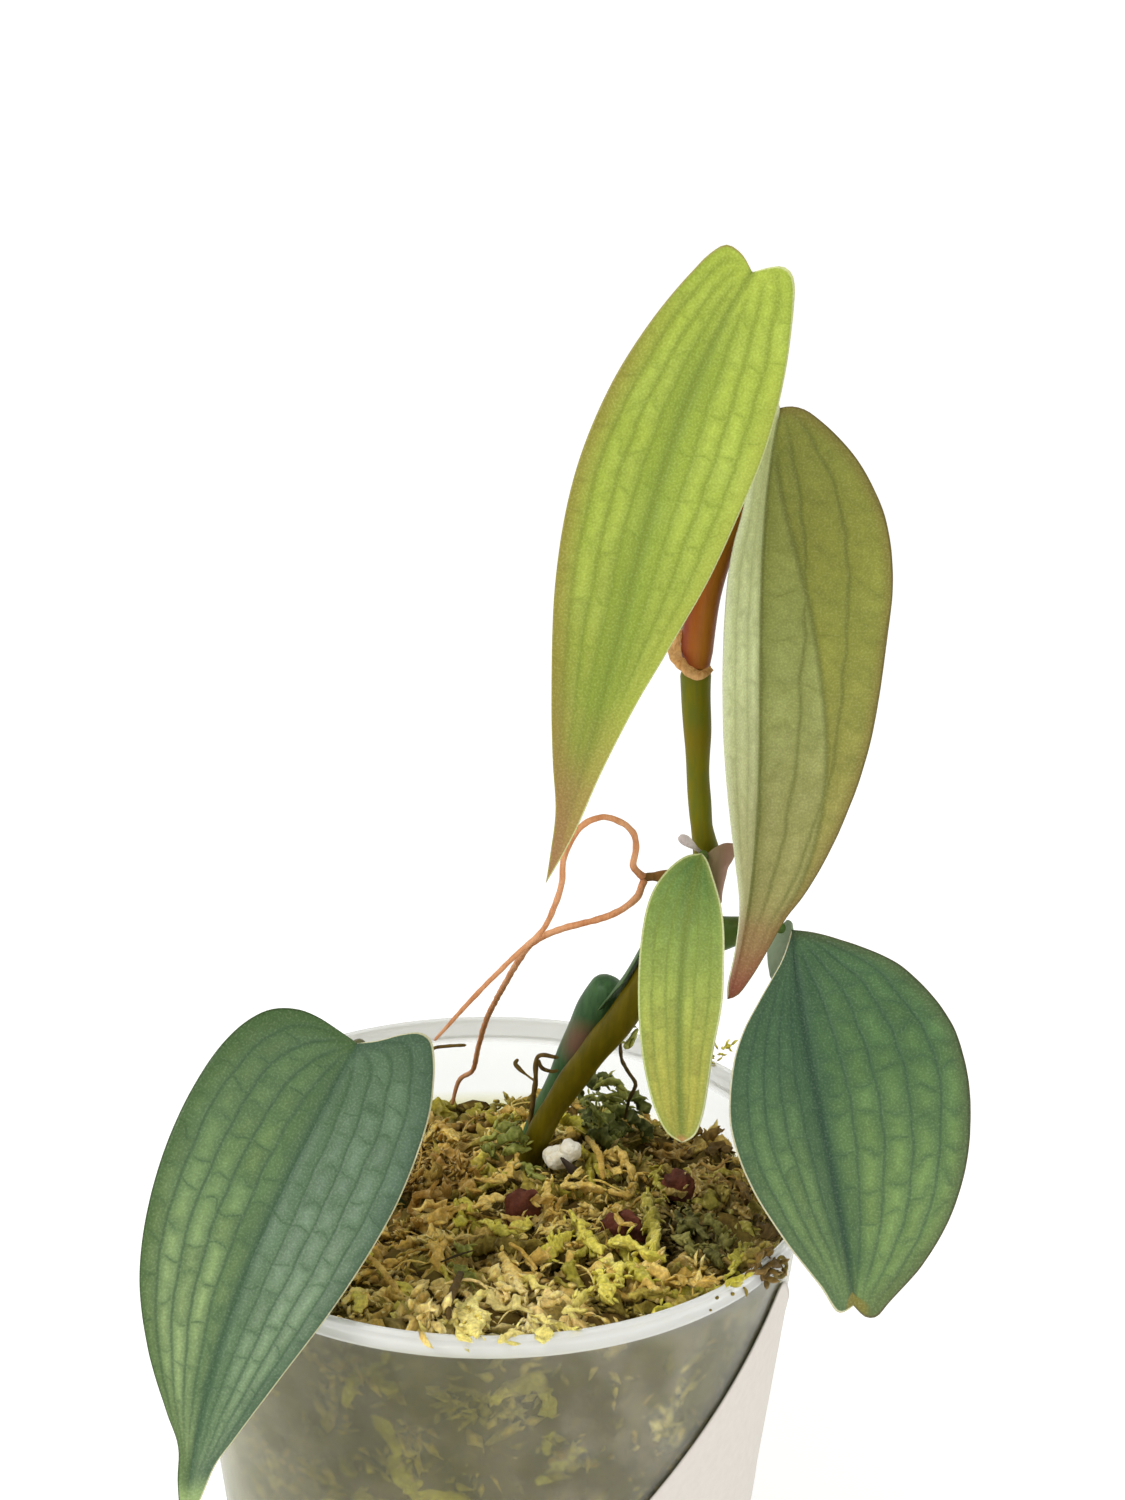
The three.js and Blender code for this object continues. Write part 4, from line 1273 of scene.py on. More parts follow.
# Pressed branches as the photograph shows them, by tone: tint, width, then places on the bed or in space
LAID_BRANCHES = {
    "straw": (
        (0.75, 2, (9.8, -3), (11.7, -1.8), (13.7, -2.5), (16.1, -3.3)),
        (0.55, 1.1, (9.8, -1), (11.3, 0.5), (12.5, 2.4)),
        (0.45, 1.4, (8.8, 0.6), (8.1, -2.7), (7.9, -6.3), (8.7, -9.6), (10.1, -10.1)),
        (0.8, 1, (6.2, -15.3), (8.3, -13.7), (10.7, -11.9)),
        (0.55, 1.7, (-8.3, -12.1), (-6.3, -10.2), (-4.1, -8.4), (-2.6, -7.7)),
        (0.6, 1.6, (-1.9, -9.3), (-0.6, -6.9), (0.9, -5.8), (2.3, -6.8)),
        (0.7, 1, (-5.7, -14.9), (-4.6, -17.3), (-3.5, -16.9), (-3.2, -15)),
        (0.45, 1.5, (-7.3, -21.6), (-6.4, -19.2), (-5.6, -16.5)),
        (0.7, 1.5, (2, -21.1), (3.2, -24.7), (4, -28.3), (5.2, -31.6)),
        (0.65, 1.4, (-0.3, -25.6), (1.4, -26.7), (2.9, -27.5), (4.4, -30.4)),
        (0.5, 1.8, (5.2, -21.4), (7, -22.4), (8.5, -21.3)), (0.45, 1.5, (7.2, -35.4), (8.5, -34.1), (9.9, -32.7)),
        (0.55, 1.3, (15.8, -22.5), (16.7, -25.6), (17.5, -28.9)),
        (0.4, 1.6, (-8.5, 23.4), (-6.9, 17.6), (-5.2, 12.8)),
        (0.4, 1.5, (-8, 12.3), (-6.4, 9.1), (-4.6, 5.7), (-4, 1.9)),
        (0.5, 1.7, (-2.5, 0.4), (-0.5, -1.1), (1.3, -0.8), (2.8, 2.1), (3.8, 3.9)),
        (0.3, 1.6, (-8.4, -5.6), (-6.7, -4.2), (-5.2, -2.3)), (0.65, 1.2, (0.9, -32.6), (2.3, -31.7), (3.8, -33.8)),
        (0.35, 1.6, (-1.1, -4.7), (-2.8, -3), (-4.3, -1.1)),
        (0.6, 1.6, (15.4, 8.6), (17.1, 9.6), (18.5, 8.2), (19.4, 4.9), (20.1, 1.8)),
        (0.5, 1.2, (15.8, 4.4), (17.4, 3.9), (18.6, 2.4)),
        (0.5, 1.2, (16.5, -2.4), (17.8, -3.6), (19.5, -2.2), (20.4, 0.6)),
        (0.3, 1.3, (22.4, 12.7), (24.2, 11.6), (25.9, 11.2), (28.1, 14.1)),
        (0.35, 0.9, (33.7, -4.3), (34.5, -6), (35.7, -8.1)),
        (0.4, 1.3, (23.2, -27.1), (24.9, -26.4), (26.5, -27.4)),
        (0.4, 1.2, (26.7, -27.1), (28.5, -27.7), (30.2, -26.7)),
        (0.35, 1.0, (26.3, -32.4, 78.3), (28.1, -32.8, 78.5), (29.7, -32.3, 78.5)),
        (0.45, 0.9, (17.2, -8.8, 75.6), (17.4, -11.6, 75.8), (18, -13.4, 75.4), (19.8, -14.6, 75)),
        (0.3, 1.0, (5.4, -9.4, 76.2), (7, -9.6, 76.4), (8.6, -8.6, 76)),
        (0.55, 1.2, (1.4, -9.8, 74.4), (3, -10.4, 73.9), (5.5, -10.6, 73.6)),
        (0.25, 1.1, (23.6, -2, 73.6), (25.4, -2.4, 73.7), (27.6, -1.6, 73.5)),
        (0.2, 0.9, (27.8, 1.6, 75), (29, -0.6, 74.6), (28.8, -3, 74.2))),
    "lime": (
        (0.75, 1.2, (-1.4, -12), (0.6, -12.8), (2.4, -15), (4.1, -15.8)),
        (0.85, 1.7, (3.3, -14.6), (4.8, -13.1), (6.1, -13.1)),
        (0.8, 1.7, (10.9, -9.4), (12.3, -12.7), (13.4, -16.4), (15.3, -20.1)),
        (0.7, 1.3, (6, -38.4), (8.2, -39.6), (10.3, -41.6), (12.5, -43.2)),
        (0.95, 1.9, (-2.7, -35.4), (-1.4, -40), (0, -45.4)), (1, 1.9, (-2.2, -34.1), (-0.7, -37.4), (0.6, -42)),
        (0.8, 1.7, (-3.1, -40.1), (-1.9, -44), (-1.1, -46.3)),
        (0.85, 1.4, (-3.8, -5.7), (-2.9, -7.7), (-2.3, -9.3)),
        (0.6, 2, (7.6, -21.7), (8.9, -19), (10.2, -16.3), (11.1, -14.3)),
        (0.95, 1.4, (14.8, -24.5), (15.7, -28.6), (16.4, -32)),
        (0.75, 1.1, (10.1, -37), (11.7, -36.5), (12.9, -37.1)),
        (0.7, 1.4, (2.6, -45.7), (4.1, -43.8), (5.4, -43.3)), (0.6, 1.5, (6.1, -43.3), (7.7, -43.6), (9.4, -44.7)),
        (0.55, 1.5, (11.3, -35.2), (12.6, -33), (13.5, -30)),
        (0.75, 2.4, (21.8, -1.3), (21.8, -5.9), (22.2, -10), (22.5, -15.2), (22, -20)),
        (0.85, 2.3, (15.7, -17.8), (17.8, -16.8), (19.8, -17.8), (21.6, -20.5), (23.5, -21.5)),
        (0.5, 2, (18.4, -22.3), (20.2, -25.4), (21.7, -28.1)),
        (0.45, 0.9, (24.6, 6.9), (23.3, 4.6), (23.2, 1.2), (24.1, -1.2), (24.9, -4.5)),
        (0.5, 1.1, (33.9, -9.2), (35, -10.4), (36, -12.5)),
        (0.45, 1.2, (30.7, -26.9), (32.1, -23.9), (33.1, -19.6), (34.7, -16.5), (35.5, -14.7)),
        (0.5, 1.3, (21.7, -37.8), (22.9, -35.5), (23.9, -35.1)),
        (1, 1.5, (15, -22.5), (16.2, -22.9), (17.2, -25.6), (17.7, -29.3)),
        (0.95, 1.5, (15, -26.6), (15.7, -29.9), (16.1, -34.6)),
        (0.3, 1.0, (30.5, -33.5, 78.3), (32.1, -32.1, 78.6), (33.6, -30.5, 78.2))),
    "green": (
        (0.9, 1.5, (-4.3, -18.5), (-3, -19.4), (-1.6, -20.2)),
        (0.8, 1.5, (-3.6, -24.4), (-2.2, -26.8), (-0.7, -28.5)),
        (0.7, 1.7, (-2, 12.9), (0, 15.1), (1.6, 18.4), (3.6, 22.9)),
        (0.6, 1.4, (-2.1, 10.5), (-0.9, 9.5), (0.5, 7)), (0.6, 1.4, (4, 3.9), (5.2, 2.5), (6.1, 0.4), (7.7, -1)),
        (0.5, 1.4, (15.5, 16), (17, 14.5), (18.7, 18.3)), (0.3, 1.6, (12.5, 37), (14, 32), (15.5, 27)),
        (0.95, 1.2, (12.8, 33), (14.5, 35.5), (16.8, 34), (17.6, 30)), (0.2, 1.7, (15.5, 26), (16.5, 21), (18, 17)),
        (0.4, 1.5, (13.2, 22), (15, 19), (14.6, 15)), (0.15, 1.6, (17.5, 25), (19, 22), (19, 18)),
        (0.1, 1.6, (12.8, 29), (14, 25), (13.6, 21)), (0.8, 1.1, (16.2, 29), (17.8, 27), (17.6, 23))),
    "olive": (
        (0.3, 1.5, (0.9, -17.7), (3.6, -18.4), (6, -18.7), (7.7, -17.9)),
        (0.8, 1.6, (-8.6, -1.8), (-8.3, 1.2), (-7.4, 4.3)), (0.7, 1.8, (30.7, 2.1), (32.1, 1.9), (32.9, -1.7)),
        (0.3, 1.6, (33.2, -21.7), (34.8, -19.5), (36.6, -16.8)),
        (0.7, 1.6, (18.5, -33.2), (20.3, -31.3), (22.1, -31.7), (23.7, -29.4)),
        (0.6, 1.5, (24.3, -35.5), (25.6, -33.2), (27.1, -32.3)), (0.5, 1.5, (21.5, 19.2), (23.6, 22.4), (25, 19.6)),
        (0.3, 1.2, (32.7, -27.9, 78.5), (34.1, -26.6, 78.8), (35.7, -24.4, 78.5))),
    "grey": (
        (0.35, 1.7, (27.5, -4.9), (27.7, -9.2), (28.7, -12.4), (29.7, -14.8)),
        (0.75, 1.4, (24.7, -14.1), (26.2, -14.7), (27.2, -17.5), (27.4, -20.4)),
        (0.6, 1.5, (29.7, -7.1), (30.7, -10.5), (32.3, -13.3)),
        (0.8, 1.2, (32.6, -11.1), (31.6, -13.8), (32.3, -15.8), (33.5, -14.9)),
        (0.4, 1.6, (28.5, -19.1), (30.1, -19.8), (31.1, -22.2)),
        (0.2, 1.5, (25.4, -7.4), (26.5, -10.2), (25.9, -13.6)),
        (0.55, 1.4, (28, -16.6), (29.7, -17.3), (30.8, -18.5))),
    "brown": (
        (0.5, 1.6, (34.7, -23.3), (36.3, -20.4), (37.8, -17.6)),
        (0.7, 1.6, (30.7, 19.8), (32.8, 21.9), (34.6, 23.4)), (0.5, 1.7, (31, 12.9), (33.1, 16.2), (34.6, 14.2)),
        (0.3, 1.6, (36.6, -7.1), (37.5, -10.6), (38.6, -13.2)), (0.8, 1.5, (27.7, 23.4), (29.4, 21.9), (30.8, 24)),
        (0.4, 1.5, (34.7, 4.8), (35.7, 1.1), (36.2, -3.1)),
        (0.7, 1.2, (34.1, -29.6, 78.6), (35.5, -27.3, 78.9), (37, -25.1, 78.7)),
        (0.6, 1.0, (32.9, -31.1, 78.5), (34.8, -29.2, 78.2), (36.9, -26.6, 77.3), (38.9, -23.8, 75.9)),
        (0.55, 0.9, (35.3, -28.9, 77), (36.5, -27.3, 76.3), (37.8, -25.4, 75.7))),
}

# The green clump, upright sprigs and papery leaves, and bare stalks with their radii
LAID_CLUMP = (
    (0.1, 2.2, (13.2, 14, 74), (15.5, 14, 73.4), (17.3, 14, 71.6)),
    (0.15, 2.3, (14.4, 19, 74), (17.3, 19, 72.8), (19.1, 19, 71)),
    (0.2, 2.3, (15.8, 22, 75), (19, 22, 73.6), (21, 22, 72.1)),
    (0.3, 2.2, (18.2, 26, 74.6), (21.2, 26, 73.4), (22.9, 26, 71.3)),
    (0.05, 2.1, (19.6, 20, 74.6), (21.8, 20, 72.5), (23.1, 20, 69.8)),
    (0.25, 2.2, (15, 24, 75.6), (17.4, 24, 73.8), (18.9, 24, 71.3)),
    (0.1, 2.3, (13.6, 28, 74.6), (15.6, 31, 74.2), (18, 33, 73.2)), (0.9, 1.4, (14.3, 18, 78.6), (15.3, 18, 80),
    (17.1, 18, 80.4), (18.6, 18, 79.4), (18, 18, 77.9), (16.3, 18, 78.2)),
    (0.5, 1.7, (15, 19, 76.4), (17, 19.5, 77), (19, 20, 76)),
    (0.85, 0.6, (13.9, 16, 78.2), (15, 16, 76), (15.9, 16, 73.8), (17.3, 16, 72), (18.3, 16, 72.2)),
    (0.4, 1.5, (1, 6, 76.6), (3.2, 6, 78), (5.3, 6.4, 77)),
    (0.55, 1.6, (1.6, 5, 75), (3.6, 5, 76.2), (5.6, 5.6, 76)),
    (1.0, 0.9, (20.4, 8, 94.2), (19.7, 8, 92.6), (18.5, 8, 90.8)))

LAID_SPRIGS = (
    ((18.4, 36, 79.8), (19, 36, 81.8), (20.1, 36, 83.6)),
    ((33.4, 29, 77.6), (33, 29.2, 79.2), (33.8, 29.4, 80.4), (35.6, 29.6, 81)))

LAID_PAPERY = (
    ((-9, -39, 77.6), (-7, -41, 78.6), (-5.5, -43, 78.8)), ((-7.5, -44, 78.4), (-5, -42.5, 78.8), (-4, -40, 78.2)),
    ((-10, -35, 77), (-8.5, -37, 77.8)), ((0.5, -30, 76.6), (2.5, -33.5, 77.4)), ((6, -33, 76.8), (8.5, -36, 77.6)),
    ((-6, -34, 76.8), (-4.6, -37, 77.6)), ((11, -38, 77.4), (13, -40, 77.8)))

LAID_STALKS = (
    ("pale_stalk", "straw", (
        (0.5, (13.4, 13.5, 73.6), (14.4, 9.7, 74.4), (15.2, 5.7, 75.1), (15.5, 1.2, 75.4), (15.7, -1.4, 75.2)),
        (0.28, (3.1, -19.7, 75.8), (4.6, -21.6, 76), (5.8, -23.9, 76), (6.9, -26.3, 76)),
        (0.22, (-4.7, -32.6, 77.6), (-2.3, -32.1, 77.9), (-0.5, -32.4, 77.9), (0.9, -33.7, 77.6)),
        (0.25, (29.8, 7.2, 73.4), (31.4, 4.6, 73.6), (33, 6.9, 73.4), (34.3, 9.8, 73)),
        (0.4, (-15.4, -21.4, 74.6), (-13.5, -26, 76), (-11.6, -31, 77), (-10.3, -34.4, 77.4)))),
    ("dark_twig", "brown", (
        (0.55, (-2.6, -31.2, 78.4), (-3.2, -35.6, 78.9), (-3.7, -40.3, 79.4), (-3.6, -42.6, 79)),
        (0.16, (-5.5, -26.6, 77), (-3.6, -25, 77), (-1.3, -22.9, 76.6)), (0.3, (17.9, 12, 90.7), (18.3, 12, 87),
        (19.4, 12.6, 84.6), (20.4, 13.4, 82.4), (19.6, 15, 79), (19.2, 17, 75)))),
    ("rim_scrap", "olive", (
        (0.3, (28.6, -34.6, 75.6), (28.7, -34.5, 75.9)), (0.25, (29.3, -34.1, 77.2), (29.7, -33.8, 77.1)),
        (0.25, (31.4, -32.3, 76.6), (31.8, -31.9, 76.5)),
        (0.2, (33.1, -30.6, 76.6), (33.4, -30.3, 76), (33.6, -30.1, 75)), (0.3, (37.3, -26.1, 76.2),
        (37.8, -25.3, 74.9), (39, -23.4, 74.2), (39.2, -23.2, 75.4), (38.3, -24.6, 77.4), (37.5, -25.7, 77.2)))),
)


def build_moss(name: str, parts: Sequence[tuple]) -> bpy.types.Object:
    """Joins shapes in one piece of moss.

    Args:
        name: the piece's name.
        parts: each shape's points, faces, shares towards its leaflets' tips and, where it isn't scattered, tints.

    Returns:
        The piece, with those shares and tints stored for its material.
    """
    points, faces, *values = join_shapes(parts)
    made = build_mesh(name, points, faces)
    for label, row in zip(("tip", "tint"), values):
        write_floats(made.data, label, row)
    return made


@dataclass
class MossBed:
    """The sphagnum: a dark lumpy core under strands, loose leaflets, pressed branches and fibres.

    The bed is raised by swell (x, y, rise, reach) round the stem and by bank (y, rise, reach) at the near wall. Its
    hollows are (x, y, depth, width). Its clearings (x, y, reach, height) keep moss off the pieces that lie on it.
    """

    pot: Pot
    level: float = 71.0
    slope: float = 0.11
    swell: tuple[float, float, float, float] = (6.0, 8.0, 3.0, 22.0)
    bank: tuple[float, float, float] = (-46.0, 1.1, 14.0)
    hollows: Sequence[tuple[float, float, float, float]] = (
        (20.9, 20, 2.6, 4.5), (-0.8, -18, 2.4, 3.0), (8, -8, 1.2, 3.5), (27, 3, 1.6, 4.0), (11, 3, 1.3, 3.2),
        (29, -13, 1.6, 6.0), (-4.6, 34, 2.0, 7.0), (14, 38, 1.4, 7.0), (-12, -12, 1.4, 4.0), (-16, 12, 1.4, 5.0),
        (21, 9, 2.4, 2.6), (26, -9, 1.4, 3.0), (31, -12, 1.4, 2.6), (-1, -16.5, 2.0, 2.6), (10.5, -27, 1.2, 1.8),
        (-5, 20, 1.6, 4.0))
    clearings: Sequence[tuple[float, float, float, float]] = (
        (10.2, 4.6, 3.4, 73.2), (4.7, -10.4, 2.0, 72.4), (18, -12.6, 1.9, 72.2), (26.6, -1.6, 2.0, 71.8))
    core_drop: float = 2.4
    core_sides: int = 120
    wall_gap: float = 0.45
    ground_sides: int = 96
    seed: int = 11
    protos: list[bpy.types.Object] = field(default_factory=list)

    def smooth_height(self, x: Array, y: Array) -> Array:
        """Height of the bed at a place, without its lumps and hollows.

        Args:
            x: places to the right of the pot's axis.
            y: places behind it.

        Returns:
            The height at each place.
        """
        sx, sy, rise, reach = self.swell
        away = np.hypot(x - sx, y - sy) / reach
        edge, height, span = self.bank
        level = self.level - self.slope * y + rise * np.exp(-away * away)
        return level + height * np.exp(-((y - edge) / span) ** 2)

    def height_at(self, x: Array, y: Array) -> Array:
        """Height of the bed's surface at a place, with its lumps and hollows.

        Args:
            x: places to the right of the pot's axis.
            y: places behind it.

        Returns:
            The height at each place.
        """
        lumps = 0.6 * (np.sin(0.45 * x + 1) * np.cos(0.38 * y) + 0.6 * np.sin(0.9 * y + 0.5 * x))
        level = self.smooth_height(x, y) + lumps + 0.6 * np.sin(0.8 * x - 0.3 * y) * np.sin(0.7 * y + 0.4)
        for hx, hy, depth, width in self.hollows:
            level = level - depth * np.exp(-((x - hx) ** 2 + (y - hy) ** 2) / width ** 2)
        return level

    def limit(self, z: Array) -> Array:
        """Largest radius that moss may reach at a height, just inside the wall."""
        return self.pot.inner_radius(z) - self.wall_gap

    def build_core(self) -> bpy.types.Object:
        """Builds the lumpy core that fills the pot under the strands.

        Returns:
            The core.
        """
        sides, foot = self.core_sides, self.pot.floor + 0.4
        rings = [ring(share * self.limit(foot), foot, sides) for share in np.linspace(0.12, 1, 9)]
        for z in np.linspace(foot + 1, self.level - 9, 44):
            side = ring(self.limit(z), z, sides)
            dent = np.clip(0.7 + 0.9 * ripple(side, 7, 21) + 0.5 * ripple(side, 3, 22), 0, 3)
            rings.append(side * np.stack([1 - dent / 42, 1 - dent / 42, np.ones(sides)], -1))
        for share in np.linspace(0.985, 0.03, 48):
            spot = ring(share * self.limit(self.level), 0, sides)
            x, y, _ = spot.T
            z = self.height_at(x, y) - self.core_drop + 0.9 * ripple(spot, 8, 23) + 0.5 * ripple(spot, 3.2, 24)
            rings.append(np.stack([x, y, z], -1))
        peak = float(self.height_at(0.0, 0.0)) - self.core_drop
        made = build_mesh(
            "moss_core", np.vstack([*rings, [[0, 0, foot], [0, 0, peak]]]), capped_faces(len(rings), sides))
        orient(made)
        return made

    @staticmethod
    def leaflet(length: float, width: float, cup: float, rings: int) -> tuple[Array, list]:
        """A small pointed, hollowed leaflet along +X.

        Args:
            length: from its root to its tip.
            width: at its widest.
            cup: how far it bows up along its middle.
            rings: sections between its two points.

        Returns:
            Its points and faces.
        """
        share = np.linspace(0, 1, rings + 2)[1:-1]
        body = np.sin(math.pi * share ** 0.8) ** 0.7
        points = []
        for s, w in zip(share, body):
            lift = cup * 4 * s * (1 - s)
            x = s * length
            points += [[x, w * width / 2, lift - 0.3 * w * width], [x, 0, lift + 0.08],
                       [x, -w * width / 2, lift - 0.3 * w * width], [x, 0, lift - 0.08 - 0.12 * w * width]]
        points += [[0, 0, 0], [length, 0, -0.1 * length]]
        return np.array(points), capped_faces(rings, 4)

    def clothe(self, curve: Path, leaflets: int, leaf: float, spread: float, rng: np.random.Generator,
               body: float = 0.45, slim: float = 1.0, rings: int = 2) -> tuple[Array, list, Array]:
        """Clothes a path in overlapping leaflets.

        Args:
            curve: the branch's axis.
            leaflets: how many it bears.
            leaf: typical leaflet length.
            spread: how far they stand off the axis, in radians.
            rng: source of its accidents.
            body: how far off the axis they root.
            slim: share of the usual leaflet width.
            rings: sections in each leaflet.

        Returns:
            Points, faces and each point's share towards its leaflet's tip.
        """
        parts = []
        for i in range(leaflets):
            share = (i + 0.3) / leaflets
            axis, direction = curve.at(share)[0], curve.along(share)[0]
            size = leaf * rng.uniform(0.75, 1.25) * (1 - 0.3 * share)
            shape, sheet = self.leaflet(size, size * rng.uniform(0.38, 0.58) * slim, 0.1 * size, rings)
            spin = i * 2.4 + rng.normal(0, 0.7)
            lean = spread * rng.uniform(0.4, 1.9)
            side = unit(np.cross(direction, [0.1, 0, 1.0]))
            outward = math.cos(spin) * side + math.sin(spin) * np.cross(direction, side)
            forward = unit(direction * math.cos(lean) + outward * math.sin(lean))
            wide = unit(np.cross(direction, outward))
            up = np.cross(forward, wide)
            root = axis + outward * body * (1 - 0.6 * share ** 2)
            parts.append((
                root + shape[:, :1] * forward + shape[:, 1:2] * wide - shape[:, 2:] * up, sheet,
                np.clip(shape[:, 0] / size, 0, 1)))
        return join_shapes(parts)

    @staticmethod
    def scaly(path: Sequence[Point], width: float, seed: int) -> tuple[Array, list, Array]:
        """Rounds a pressed branch: five rows of overlapping scale leaves, flattened, twisted and crumpled.

        Args:
            path: its axis.
            width: its usual width.
            seed: picks its creases.

        Returns:
            Points, faces and each point's share towards its scale's tip.
        """
        rng = np.random.default_rng(seed)
        curve = Path(path)
        scale_rows, scale_mm, ring_mm = 5, 1.35, 0.37
        sides, rings = 15, max(12, int(curve.length / ring_mm))
        share, turn = np.linspace(0, 1, rings), circle(sides)
        place = turn[None] / FULL_TURN * scale_rows + 2.2 * share[:, None]
        row = np.floor(place)
        across = 2 * (place - row) - 1
        wander = 0.5 * np.sin(0.9 * curve.length * share + rng.uniform(0, 6, scale_rows)[:, None]).T
        wander = (wander + rng.uniform(0, 1, scale_rows))[np.arange(rings)[:, None], row.astype(int) % scale_rows]
        step = share[:, None] * curve.length / scale_mm + wander
        phase = step - np.floor(step)
        luck = np.abs(np.sin((row % scale_rows) * 12.9 + np.floor(step) * 78.2 + seed) * 437.5) % 1
        scale = phase * (1 - 0.7 * across ** 2) * (0.2 + 1.6 * luck ** 2)
        swell = blend(rng.uniform(0.7, 1.15, 6), share) * np.clip(np.sin(math.pi * share), 0, 1) ** 0.4
        radius = (width / 2 * swell)[:, None] * (0.62 + 0.62 * scale) + 0.04
        twist = rng.uniform(0, math.pi) + rng.normal(0, 1.3) * share
        wide, thick = radius * np.cos(turn), 0.62 * radius * np.sin(turn)
        side = unit(np.cross(curve.along(share), [0.1, 0, 1.0]))
        up = np.cross(side, curve.along(share))
        cos, sin = np.cos(twist)[:, None], np.sin(twist)[:, None]
        points = (curve.at(share)[:, None] + (wide * cos - thick * sin)[..., None] * side[:, None]
                  + (wide * sin + thick * cos)[..., None] * up[:, None]).reshape(-1, 3)
        shift = np.stack([ripple(points, 2.4, seed + k) for k in range(3)], -1)
        points = np.vstack([points + 0.28 * shift, curve.at([0.0, 1.0])])
        tips = np.clip(0.1 + 0.8 * phase * (1 - 0.3 * across ** 2), 0, 1).ravel()
        return points, capped_faces(rings, sides), np.concatenate([tips, [0.5, 0.5]])

    def lay_strands(self, name: str, paths: Sequence[Sequence[Point]], leaf: float, spread: float,
                    per_mm: float, seed: int, body: float) -> bpy.types.Object:
        """Lays leafy branches along given paths, as one piece.

        Args:
            name: the piece's name.
            paths: each branch's axis.
            leaf: typical leaflet length.
            spread: how far the leaflets stand off, in radians.
            per_mm: leaflets a millimetre.
            seed: picks their accidents.
            body: how far off the axis the leaflets root.

        Returns:
            The piece, with a tint for each branch.
        """
        rng = np.random.default_rng(seed)
        parts = []
        for path in paths:
            curve = Path(path)
            shape = self.clothe(curve, max(3, int(curve.length * per_mm)), leaf, spread, rng, body)
            parts.append((*shape, np.full(len(shape[0]), rng.uniform(0.2, 0.9))))
        made = build_moss(name, parts)
        orient(made)
        return made

    def lay_ribbons(self, name: str, rows: Sequence[tuple], seed: int) -> bpy.types.Object:
        """Lays scaly branches over the bed, as one piece, with a few loose scale leaves on each.

        Args:
            name: the piece's name.
            rows: for each branch its tint, its width and the places that it passes, on the bed or in space.
            seed: picks their creases.

        Returns:
            The piece, with a tint for each branch.
        """
        rng = np.random.default_rng(seed)
        parts = []
        for index, (tint, width, *places) in enumerate(rows):
            path = [(*p, float(self.smooth_height(*p)) + 1) if len(p) == 2 else p for p in places]
            curve = Path(path)
            for shape in (
                    self.scaly(path, width * 1.4, seed + index),
                    self.clothe(curve, max(2, int(curve.length * 0.8)), 2.0, 0.7, rng, 0.4 * width, 0.8)):
                parts.append((*shape, np.full(len(shape[0]), tint)))
        return build_moss(name, parts)

    @staticmethod
    def wavy(length: float, aside: float, up: float, count: int, rng: np.random.Generator) -> list[list[float]]:
        """A path along X through the origin, which wanders by shares of its length aside and up."""
        return [[length * s, rng.normal(0, aside) * length, rng.normal(0, up) * length]
                for s in np.linspace(-0.5, 0.5, count)]

    def strand(self, name: str, length: float, leaflets: int, leaf: float, spread: float,
               rng: np.random.Generator, slim: float = 1.0, rings: int = 2) -> bpy.types.Object:
        """Makes a loose sphagnum branch to scatter.

        Args:
            name: the prototype's name.
            length: its length.
            leaflets: how many it bears.
            leaf: typical leaflet length.
            spread: how far they stand off, in radians.
            rng: source of its accidents.
            slim: share of the usual leaflet width.
            rings: sections in each leaflet.

        Returns:
            The prototype.
        """
        curve = Path(self.wavy(length, 0.14, 0.07, 6, rng))
        made = build_moss(name, [self.clothe(curve, leaflets, leaf, spread, rng, slim=slim, rings=rings)])
        orient(made)
        return made

    def ribbon(self, name: str, length: float, width: float, rng: np.random.Generator) -> bpy.types.Object:
        """A pressed, scaly branch, as a prototype to scatter."""
        path = self.wavy(length, 0.12, 0.06, 6, rng)
        return build_moss(name, [self.scaly(path, width, int(rng.integers(1000)))])

    def fibre(self, name: str, length: float, radius: float, rng: np.random.Generator) -> bpy.types.Object:
        """Makes a bare wiry stem of moss to scatter.

        Args:
            name: the prototype's name.
            length: its length.
            radius: its radius at its foot.
            rng: source of its accidents.

        Returns:
            The prototype.
        """
        path = self.wavy(length, 0.07, 0.05, 5, rng)
        made = Tube(path, [radius, radius, radius * 0.6], sides=5, rings=12, wobble=0.1, wavelength=1.5).mesh(name)
        write_floats(made.data, "tip", 0.5)
        return made

    def collect(self, name: str, members: Sequence[bpy.types.Object]) -> bpy.types.Collection:
        """Gathers prototypes in a collection that isn't rendered.

        Args:
            name: the collection's name.
            members: the prototypes.

        Returns:
            The collection.
        """
        group = bpy.data.collections.new(name)
        for member in members:
            bpy.context.scene.collection.objects.unlink(member)
            group.objects.link(member)
        self.protos += members
        return group

